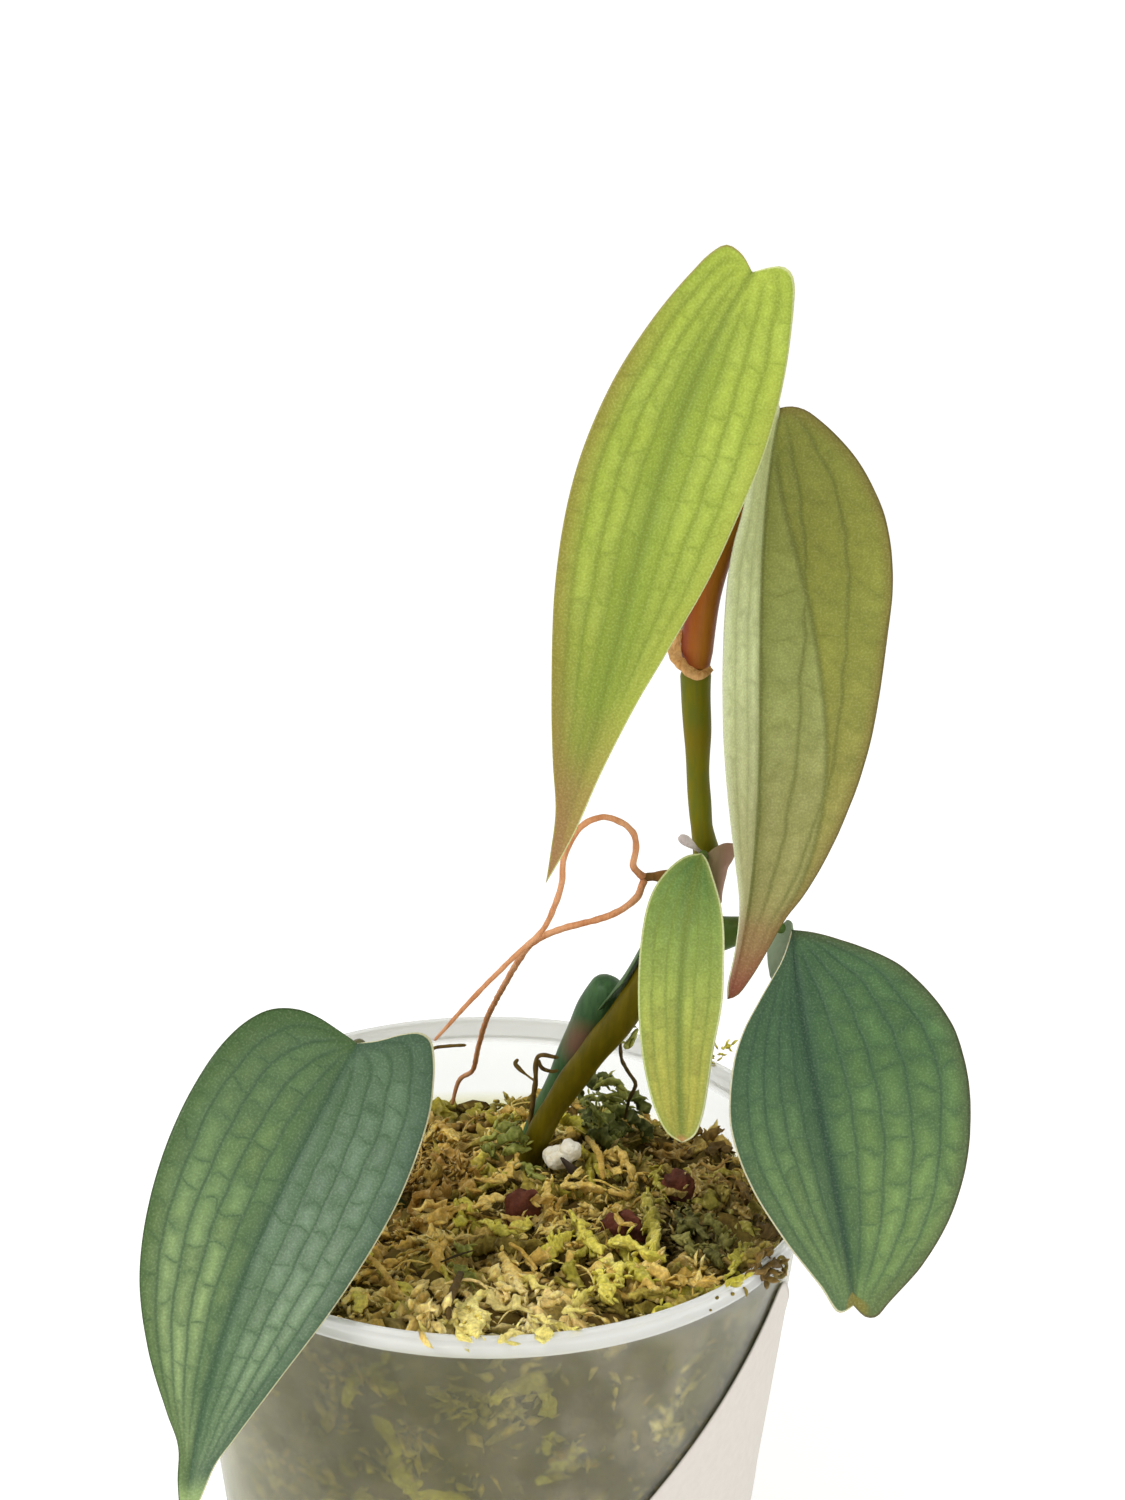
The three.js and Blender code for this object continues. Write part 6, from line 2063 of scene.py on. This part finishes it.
@dataclass
class Shoot:
    """Stems, petioles, sheaths and the old cut petiole."""

    def build(self) -> None:
        """Builds and dresses the shoot's pieces."""
        # The old stem's skin dries to cork: dull olive brown with hardly a sheen
        old = SkinFinish("old_stem_skin", "#584E08", "#64580A", "#4C4604", rough=0.45, gloss=0.1).material()
        # The young stem's skin is smooth and full of sap: olive and yellow-green, faintly waxy
        young = SkinFinish("young_stem_skin", "#74700C", "#666C1C", "#7C680C", rough=0.45, gloss=0.12,
                           blotch_mm=9).material()
        # Dark petioles are waxy: bluish green with brown blotches
        dark = SkinFinish("dark_petiole_skin", "#486438", "#38522C", "#76604A", rough=0.45, blotch_mm=11,
                          blotch_share=0.55).material()
        # The cut petiole has the same waxy skin, with a brown scar near its top
        cut = SkinFinish("cut_petiole_skin", "#3E6038", "#335030", "#4C6A34", rough=0.45, blotch_mm=9,
                         stain=(12.4, 7.6, 91.2, 4.6)).material()
        # Petioles at the blades are fresh and green, with a soft sheen
        green = SkinFinish("green_petiole_skin", "#4C7030", "#42652C", "#66682C", rough=0.4).material()
        # The sheath is thin and leathery, red-brown: its orange middle is a painted highlight and its darker edges
        # painted shade
        red = SkinFinish("red_sheath_skin", "#86401A", "#A0601F", "#A8692A", streak_mm=1.0, streak_length=0.08,
                         rough=0.42, zone_share=0.65, zones=(
                             (0.0, "#5A3014"), (0.22, "#8A461A"), (0.45, "#BA7A26"), (0.62, "#B2621F"),
                             (0.8, "#8C321C"), (1.0, "#642818"))).material()
        # The dried sheath is papery, tan and matt
        tan = SkinFinish("dried_sheath_skin", "#D9A56B", "#B98048", "#E6BE88", streak_mm=0.4, rough=0.85,
                         bump_mm=0.2).material()
        # The withering flap is soft and dull: pink, with olive left at its foot
        pink = SkinFinish("withered_flap_skin", "#A07A66", "#8C6A50", "#B08F7E", rough=0.7, zones=(
            (0.0, "#6A6640"), (0.4, "#8A7A5C"), (0.7, "#A98372"), (1.0, "#B89484"))).material()
        # The bract is a thin dry skin, almost white
        pale = SkinFinish("pale_bract_skin", "#CFC4C0", "#B5A7A6", "#DDD5D0", rough=0.7).material()
        # The blade's underside shows on its curled lobe: grey-green and matt
        lobe_skin = SkinFinish("lobe_underside_skin", "#8E9F86", "#829479", "#9DAC93", rough=0.6).material()
        tubes = (
            ("old_stem", Tube([[3, 13, 36], [4, 12, 60], [6.3, 9, 75.6], [11.9, 7, 87.3], [19, 4.5, 99],
                               [25.3, 2, 113], [28.7, 0.8, 122]], [1.4, 1.5, 1.65, 1.85, 2.1, 2.2, 2.2], rings=140),
             old, "old_stem", "lower_stem"),
            ("young_stem", Tube([[28.7, 0.7, 121.8], [28.4, 0.65, 123.8], [27.6, 0.4, 127.5], [27.1, 0.3, 132.1],
                                 [26.6, 0, 139], [26.0, 0.3, 149.3]], [1.9, 1.5, 1.55, 1.65, 1.9, 2.1], rings=80),
             young, "young_stem", "upper_stem"),
            ("cut_petiole", Tube([[4, 16.5, 62], [5.3, 14, 72.1], [9.9, 11.6, 83.9], [14.3, 10, 95.5],
                                  [16.9, 9.4, 100.5]], [1.7, 1.8, 2.15, 2.6, 2.9], rings=80),
             cut, "dark_stem", "old_petiole"),
            ("top_leaf_petiole", Tube([[25.4, 1.6, 149.9], [24.6, 4, 156], [24.6, 6, 169.8], [27.7, 8, 182.5],
                                       [30.6, 7.2, 194], [31.4, 2.8, 199]], [0.8, 0.95, 0.9, 0.8, 0.75, 0.7]),
             young, "young_stem", "petiole_top"),
            ("upper_right_petiole", Tube([[27.3, 1.6, 149.9], [28.2, 4, 157.1], [30.5, 6.4, 164.7],
                                          [34.6, 10, 175.8], [36.2, 9, 181.2]], [0.8, 0.9, 0.9, 0.8, 0.7]),
             young, "young_stem", "petiole_upper_right"),
            ("small_leaf_petiole", Tube([[28.1, -1.9, 122.6], [27.9, -2.8, 124], [27.6, -3.6, 124.8]],
                                        [0.8, 0.7, 0.6], rings=24),
             green, "young_stem", "petiole_small"),
            ("left_petiole", Tube([[-1.5, 11, 60], [-9, 4, 64], [-14, -1, 71.5], [-14, -8, 90.3],
                                   [-15.9, -15, 99.7], [-16.4, -19.3, 104]], [1.4, 1.4, 1.3, 1.2, 1.1, 1],
                                  rings=90),
             dark, "dark_stem", "petiole_left"),
            ("right_petiole", Tube([[28.5, 1.3, 111], [31.3, 0.4, 111.9], [34.6, -0.8, 113], [37.6, -2.2, 113.9],
                                    [39.3, -3.8, 114.2]], [2.5, 2.3, 1.7, 0.9, 0.8], rings=50),
             green, "dark_stem", "petiole_right"),
        )
        for name, tube, skin, slot, node in tubes:
            settle(tube.mesh(name), skin, slot, node)
        wraps = (
            ("petiole_sheath", Wrap([[26.1, 0.5, 148.9], [26.1, 0.9, 151], [26.5, 1.5, 155.7], [27.4, 2.2, 160.2],
                                     [29.2, 3.8, 165], [31.2, 6, 168.8]],
                                    [1.75, 2.0, 2.05, 2.05, 2.0, 1.95, 1.9, 1.8, 1.6, 1.4, 1.3],
                                    [55, 92, 96, 93, 88, 84, 78, 70, 58, 42, 20], (0.2, -1, 0), 0.4), red,
             "sheath_red", "red_sheath"),
            ("torn_ring", Sheet((
                ((23.95, 1.8, 153.05), (22.74, 0.8, 151.88), (22.5, 0, 150.94), (22.94, -1, 150.12),
                (23.95, -2, 149.4), (24.87, -2.6, 148.7), (25.68, -2.9, 148.4), (26.6, -2.9, 148.6),
                (27.5, -2.4, 149.08), (27.97, -1.8, 149.34)),
                ((24.05, 1.4, 153.63), (23.25, 0.35, 152.08), (23.18, -0.5, 151.0), (23.45, -1.3, 150.3),
                (24.26, -2.15, 149.7), (25.04, -2.65, 149.22), (25.79, -2.9, 148.9), (26.5, -2.9, 148.9),
                (27.35, -2.5, 149.19), (27.82, -1.95, 149.39)),
                ((24.46, 1.6, 154.21), (24.05, 0.5, 152.28), (24.15, -0.4, 151.07), (24.26, -1, 150.47),
                (24.87, -1.7, 150.0), (25.5, -2.1, 149.74), (26.2, -2.3, 149.4), (26.7, -2.3, 149.2),
                (27.5, -2.0, 149.3), (27.97, -1.5, 149.44))),
                0.3, crumple=0.3, rows=18, columns=110), tan, "sheath_tan", "dried_ring"),
            ("pale_bract", Sheet((
                ((27.26, -2.5, 124.43), (27.4, -2.58, 124.6), (27.54, -2.5, 124.77)),
                ((26.47, -2.82, 125.09), (26.66, -2.92, 125.32), (26.84, -2.82, 125.56)),
                ((25.58, -3.08, 125.56), (25.92, -3.27, 125.99), (26.27, -3.08, 126.42)),
                ((24.78, -3.27, 126.07), (25.21, -3.51, 126.6), (25.63, -3.27, 127.13)),
                ((24.41, -3.36, 126.59), (24.72, -3.54, 126.98), (25.03, -3.36, 127.37)),
                ((24.36, -3.4, 126.98), (24.5, -3.48, 127.15), (24.64, -3.4, 127.32))), 0.25),
             pale, "bract", "node_bract"),
            ("withered_flap", Sheet((
                ((29.9, -1.5, 116.8), (30.2, -1.4, 116.8), (30.5, -1.2, 117.0)),
                ((28.8, -2.4, 119.0), (29.9, -2.4, 119.2), (30.7, -1.2, 119.4)),
                ((28.2, -2.8, 121.6), (29.7, -2.9, 122.0), (31.2, -1.2, 121.8)),
                ((27.8, -2.7, 123.4), (29.5, -3.2, 124.6), (32.0, -1.4, 123.9)),
                ((27.8, -2.6, 123.9), (28.9, -3.3, 125.2), (30.6, -2.6, 125.9), (32.6, -1.7, 125.4))),
                0.22, crumple=0.08), pink, "sheath_pink", "node_flap"),
            ("old_stem_sheath", Wrap([[16.8, 5.4, 96], [20.6, 4, 102.3], [23, 3, 107.4], [25.2, 2.1, 112.6]],
                                     [2.7, 2.8, 2.9, 2.8], [20, 45, 45, 15], (-0.9, 0.6, 0.3), 0.3), dark,
             "dark_stem", "old_sheath"),
        )
        for name, wrap, skin, slot, node in wraps:
            settle(wrap.mesh(name), skin, slot, node)
        lobe = Sheet((
            ((39.2, -3.6, 115.6), (39.5, -4.0, 115.6), (39.7, -4.4, 115.4)),
            ((38.5, -3.0, 114.4), (39.2, -4.0, 114.4), (39.9, -4.8, 114.0)),
            ((36.9, -3.8, 112.0), (38.0, -5.2, 112.1), (39.2, -6.2, 112.0)),
            ((36.8, -5.0, 110.3), (37.4, -6.4, 110.3), (38.2, -7.6, 110.2)),
            ((37.0, -7.0, 109.0), (37.1, -7.6, 108.9), (37.3, -8.2, 108.8))), 0.3)
        settle(lobe.mesh("curled_lobe"), lobe_skin, "leaf_right")


@dataclass
class Roots:
    """The aerial roots, the roots in the moss and the twigs among them."""

    def build(self) -> None:
        """Builds and dresses roots and twigs, and dresses the buried CAD roots."""
        # Aerial roots wear a dry, porous coat: orange-tan and matt
        root = SkinFinish("aerial_root_skin", "#C98F63", "#B87B50", "#D9A67C", streak_mm=0.5, rough=0.65,
                          blotch_mm=4, bump_mm=0.12, grain_mm=0.35).material()
        # The stub's bark has browned
        stub = SkinFinish("root_stub_skin", "#8E6232", "#6F5326", "#A3703F", rough=0.6).material()
        # Dead twigs are dry and rough, grey-brown
        twig = SkinFinish("dry_twig_skin", "#6A5426", "#4A3A1C", "#84702E", streak_mm=0.5, rough=0.85,
                          bump_mm=0.15).material()
        tubes = (
            ("root_stub_piece", Tube([[24.6, -0.6, 120.4], [22.4, -1.5, 120.6], [20.1, -2.6, 120.9],
                                      [19.5, -2.9, 120.9]], [1, 0.85, 0.6, 0.45], rings=40, wobble=0.1,
                                     wavelength=2), stub, "root_skin", "root_stub"),
            ("high_aerial_root", Tube(
                [[20.1, -2.8, 121], [19.3, -3.3, 121.8], [18.5, -4.2, 123.2], [18.8, -5.2, 125.6],
                 [18.4, -6.3, 128.4], [16.6, -7.6, 130.5], [14.2, -8.8, 131.5], [11.9, -9.6, 130.8],
                 [10.5, -10, 129.1], [9.4, -10, 126.3], [9.2, -9.4, 122.6], [8.2, -8.4, 118.6], [6.7, -7.4, 115],
                 [3.5, -7, 111.5], [-1.5, -7.8, 106.3], [-7.3, -9, 99.7]],
                [0.5, 0.45, 0.42, 0.42, 0.42, 0.42, 0.42, 0.4, 0.4, 0.38, 0.36, 0.34, 0.34, 0.32, 0.28, 0.2],
                sides=14, rings=220, wobble=0.08, wavelength=1.6), root, "root_skin", "aerial_root_high"),
            ("low_aerial_root", Tube(
                [[20.2, -2.8, 120.8], [19.8, -3.3, 120], [19.1, -4.8, 118.9], [17, -5.6, 117.4], [14.2, -5.4, 116],
                 [10.4, -4, 114.3], [7.5, -2, 112.3], [5.1, 1, 109.4], [3.6, 4, 105.9], [1.1, 11, 98.3],
                 [-1.5, 20, 89], [-3, 27, 80.8], [-4.1, 32.5, 74.4], [-6.2, 35.5, 71.3], [-7.4, 36.5, 66.5]],
                [0.5, 0.45, 0.45, 0.45, 0.45, 0.45, 0.44, 0.42, 0.42, 0.42, 0.4, 0.4, 0.38, 0.36, 0.3],
                sides=14, rings=240, wobble=0.08, wavelength=1.6), root, "root_skin", "aerial_root_low"),
            ("bent_twig", Tube([[9.2, 6.2, 90], [6.4, 6.6, 90], [6, 7.4, 85.5], [5.5, 9.5, 80.2], [5.2, 12.5, 73.5]],
                               [0.3, 0.36, 0.36, 0.36, 0.36], sides=10, wobble=0.12, wavelength=2), twig,
             "twig_bark", "twig_bent"),
            ("twig_loop", Tube([[6.3, 6.8, 89.3], [6.9, 6.9, 88], [8.3, 7.3, 87.3], [9.2, 7.6, 87.3]],
                               [0.3, 0.3, 0.25, 0.22], sides=10, rings=30), twig, "twig_bark"),
            ("small_twig", Tube([[3.4, 13.2, 86.2], [3.0, 13, 85.6], [3.6, 12.7, 84.9], [5, 11.8, 84.1],
                                 [5.7, 10, 84.5], [6.1, 8, 84.8]], [0.25, 0.36, 0.2, 0.15, 0.15, 0.15], sides=10,
                                wobble=0.12, wavelength=2), twig, "twig_bark", "twig_small"),
            ("dark_twig", Tube([[-5, 33, 78.6], [-7.6, 32.6, 78.6], [-10.2, 32, 78.3], [-11.8, 31.8, 76],
                                [-12.6, 31.6, 68.5]], [0.25, 0.3, 0.35, 0.4, 0.4], sides=10, wobble=0.12,
                               wavelength=2), twig, "twig_bark", "twig_dark"),
        )
        for name, tube, skin, slot, *nodes in tubes:
            settle(tube.mesh(name), skin, slot, *nodes)
        for name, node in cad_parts.items():
            if name.startswith("buried_root"):
                node.data.materials.clear()
                node.data.materials.append(root)


@dataclass
class Crumbs:
    """The perlite grain and the bark chips that lie on the moss."""

    sides: int = 40
    rings: int = 26
    squareness: float = 0.72

    def lump(self, name: str, middle: Point, half: Point, turn: float, roughness: float,
             seed: int) -> bpy.types.Object:
        """Builds an uneven lump.

        Args:
            name: the piece's name.
            middle: its middle.
            half: its three half sizes.
            turn: its turn about Z, in radians.
            roughness: depth of its unevenness, as a share of its size.
            seed: picks its shape.

        Returns:
            The object.
        """
        polar = np.linspace(0, math.pi, self.rings + 2)[1:-1]
        ball = np.vstack([*(ring(math.sin(p), math.cos(p), self.sides) for p in polar), [[0, 0, 1], [0, 0, -1]]])
        ball = np.sign(ball) * np.abs(ball) ** self.squareness
        swell = 1 + roughness * ripple(ball, 1.6, seed) + 0.5 * roughness * ripple(ball, 0.6, seed + 1)
        points = ball * swell[:, None] * np.array(half)
        rotation = np.array([[math.cos(turn), -math.sin(turn), 0], [math.sin(turn), math.cos(turn), 0], [0, 0, 1]])
        made = build_mesh(name, points @ rotation.T + np.array(middle), capped_faces(self.rings, self.sides))
        orient(made)
        return made

    def build(self) -> None:
        """Builds and dresses the crumbs."""
        # Perlite is puffed glass: chalky white, pitted and matt
        white = SkinFinish("perlite_grain_skin", "#F6F1E0", "#E6DCC0", "#F8F5EA", streak_mm=0.9, streak_length=1,
                           rough=0.9, bump_mm=0.35, grain_mm=0.6).material()
        # Pine bark chips are flaky: dark red-brown with nearly black blotches
        bark = SkinFinish("bark_chip_skin", "#663628", "#74422F", "#3A2018", streak_mm=1.4, rough=0.6,
                          bump_mm=0.25, blotch_mm=2.4, blotch_share=0.8).material()
        # The splinter is weathered wood, grey-brown
        grey = SkinFinish("bark_splinter_skin", "#4A3E34", "#38302A", "#5C4E42", rough=0.7).material()
        lumps = (
            ("perlite_piece", (9.4, 5.4, 74.7), (1.95, 1.75, 1.4), 0.3, 0.08, 41, white, "perlite", "perlite_grain"),
            ("perlite_lobe", (11.0, 5.3, 75.8), (1.55, 1.5, 1.45), 0.8, 0.1, 42, white, "perlite"),
            ("left_bark_chip", (4.6, -8, 74.0), (2.5, 1.1, 3.0), 0.15, 0.16, 43, bark, "bark", "bark_chip_left"),
            ("middle_bark_chip", (18, -10.4, 72.6), (2.8, 1.0, 2.4), -0.2, 0.18, 45, bark, "bark",
             "bark_chip_middle"),
            ("right_bark_chip", (26.4, 0.4, 72.8), (2.4, 1.2, 2.5), 0.3, 0.18, 47, bark, "bark", "bark_chip_right"),
        )
        for name, middle, half, turn, rough, seed, skin, slot, *nodes in lumps:
            settle(self.lump(name, middle, half, turn, rough, seed), skin, slot, *nodes)
        splinter = Sheet((
            ((9.8, 3.3, 75.9), (9.9, 3.2, 75.8), (10.0, 3.3, 75.7)),
            ((10.4, 3.2, 74.6), (10.8, 2.9, 74.9), (11.2, 3.1, 75.1)),
            ((11.1, 3.1, 73.4), (11.8, 2.7, 73.7), (12.5, 3.1, 74.1))), 0.3, crumple=0.05, rows=12, columns=10)
        settle(splinter.mesh("bark_splinter"), grey, "bark")


@dataclass
class Studio:
    """Pale floor, soft light and the camera."""

    camera_mm: tuple[float, float, float] = (9.0, -271.0, 227.2)
    pitch: float = 18.3
    roll: float = 1.0
    focal_pixels: float = 2180.0
    frame_pixels: tuple[int, int] = (1125, 1500)
    sensor_mm: float = 36.0
    floor_mm: float = 400000.0
    lit_mm: tuple[float, float, float] = (10.0, 0.0, 110.0)

    def build_camera(self) -> None:
        """Places the camera as the photograph has it."""
        data = bpy.data.cameras.new("camera")
        data.sensor_width = self.sensor_mm
        data.lens = self.focal_pixels / max(self.frame_pixels) * self.sensor_mm
        data.clip_start, data.clip_end = 0.01, 2000
        camera = bpy.data.objects.new("camera", data)
        camera.rotation_mode = "XYZ"
        camera.location = [c * MM for c in self.camera_mm]
        camera.rotation_euler = (math.radians(90 - self.pitch), 0, 0)
        camera.rotation_euler.rotate_axis("Z", math.radians(self.roll))
        bpy.context.scene.collection.objects.link(camera)
        bpy.context.scene.camera = camera

    def build_floor(self) -> None:
        """Lays the pale floor, bright enough to fall away to white."""
        half = self.floor_mm
        corners = [[-half, -half, 0], [half, -half, 0], [half, half, 0], [-half, half, 0]]
        floor = build_mesh("studio_floor", corners, [[0, 1, 2, 3]], smooth=False)
        material, add = new_material("studio_white")
        clouds = add("TexNoise", {"Vector": add("TexCoord").outputs["Object"], "Scale": 3.0})
        finish_surface(add, {
            "Base Color": add("Mix", {"Factor": clouds, "A": "#BCBCBC", "B": "#C4C4C4"}, data_type="RGBA"),
            "Roughness": 0.9, "Emission Color": "#FFFFFF", "Emission Strength": 0.72,
        })
        floor.data.materials.append(material)

    def build_surround(self) -> None:
        """Fills the surround with warm white that is brightest low down."""
        world = bpy.data.worlds.new("surround")
        world.use_nodes = True
        world.node_tree.nodes.clear()
        add = partial(add_node, world.node_tree)
        height = add("SeparateXYZ", [add("TexCoord").outputs["Generated"]]).outputs["Z"]
        strength = add("MapRange", [height, 0.16, 0.42, 1.15, 0.5], **EASE)
        add("OutputWorld", {"Surface": add("Background", {"Color": "#FFFBF4", "Strength": strength})})
        bpy.context.scene.world = world

    def build_lamps(self) -> None:
        """Hangs two soft lamps that face the plant."""
        lamps = (
            ("key", (-450, -300, 750), 0.4, 4.1),
            ("fill", (600, -550, 450), 0.6, 1.5),
        )
        for name, place, size, power in lamps:
            data = bpy.data.lights.new(name, "AREA")
            data.shape = "RECTANGLE"
            data.size = data.size_y = size
            data.energy = power
            lamp = bpy.data.objects.new(name, data)
            lamp.location = [c * MM for c in place]
            aim = np.array(self.lit_mm) - np.array(place)
            yaw = math.atan2(aim[1], aim[0]) - math.pi / 2
            drop = math.acos(-aim[2] / np.linalg.norm(aim))
            lamp.rotation_euler = (drop, 0, yaw)
            bpy.context.scene.collection.objects.link(lamp)

    def build(self) -> None:
        """Sets the stage."""
        self.build_camera()
        self.build_floor()
        self.build_surround()
        self.build_lamps()
        bpy.context.scene.view_settings.view_transform = "Standard"


def main() -> None:
    """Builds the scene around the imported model."""
    Studio().build()
    pot = Pot()
    pot.build()
    MossBed(pot).build()
    Foliage().build()
    Shoot().build()
    Roots().build()
    Crumbs().build()


if __name__ == "__main__":
    main()
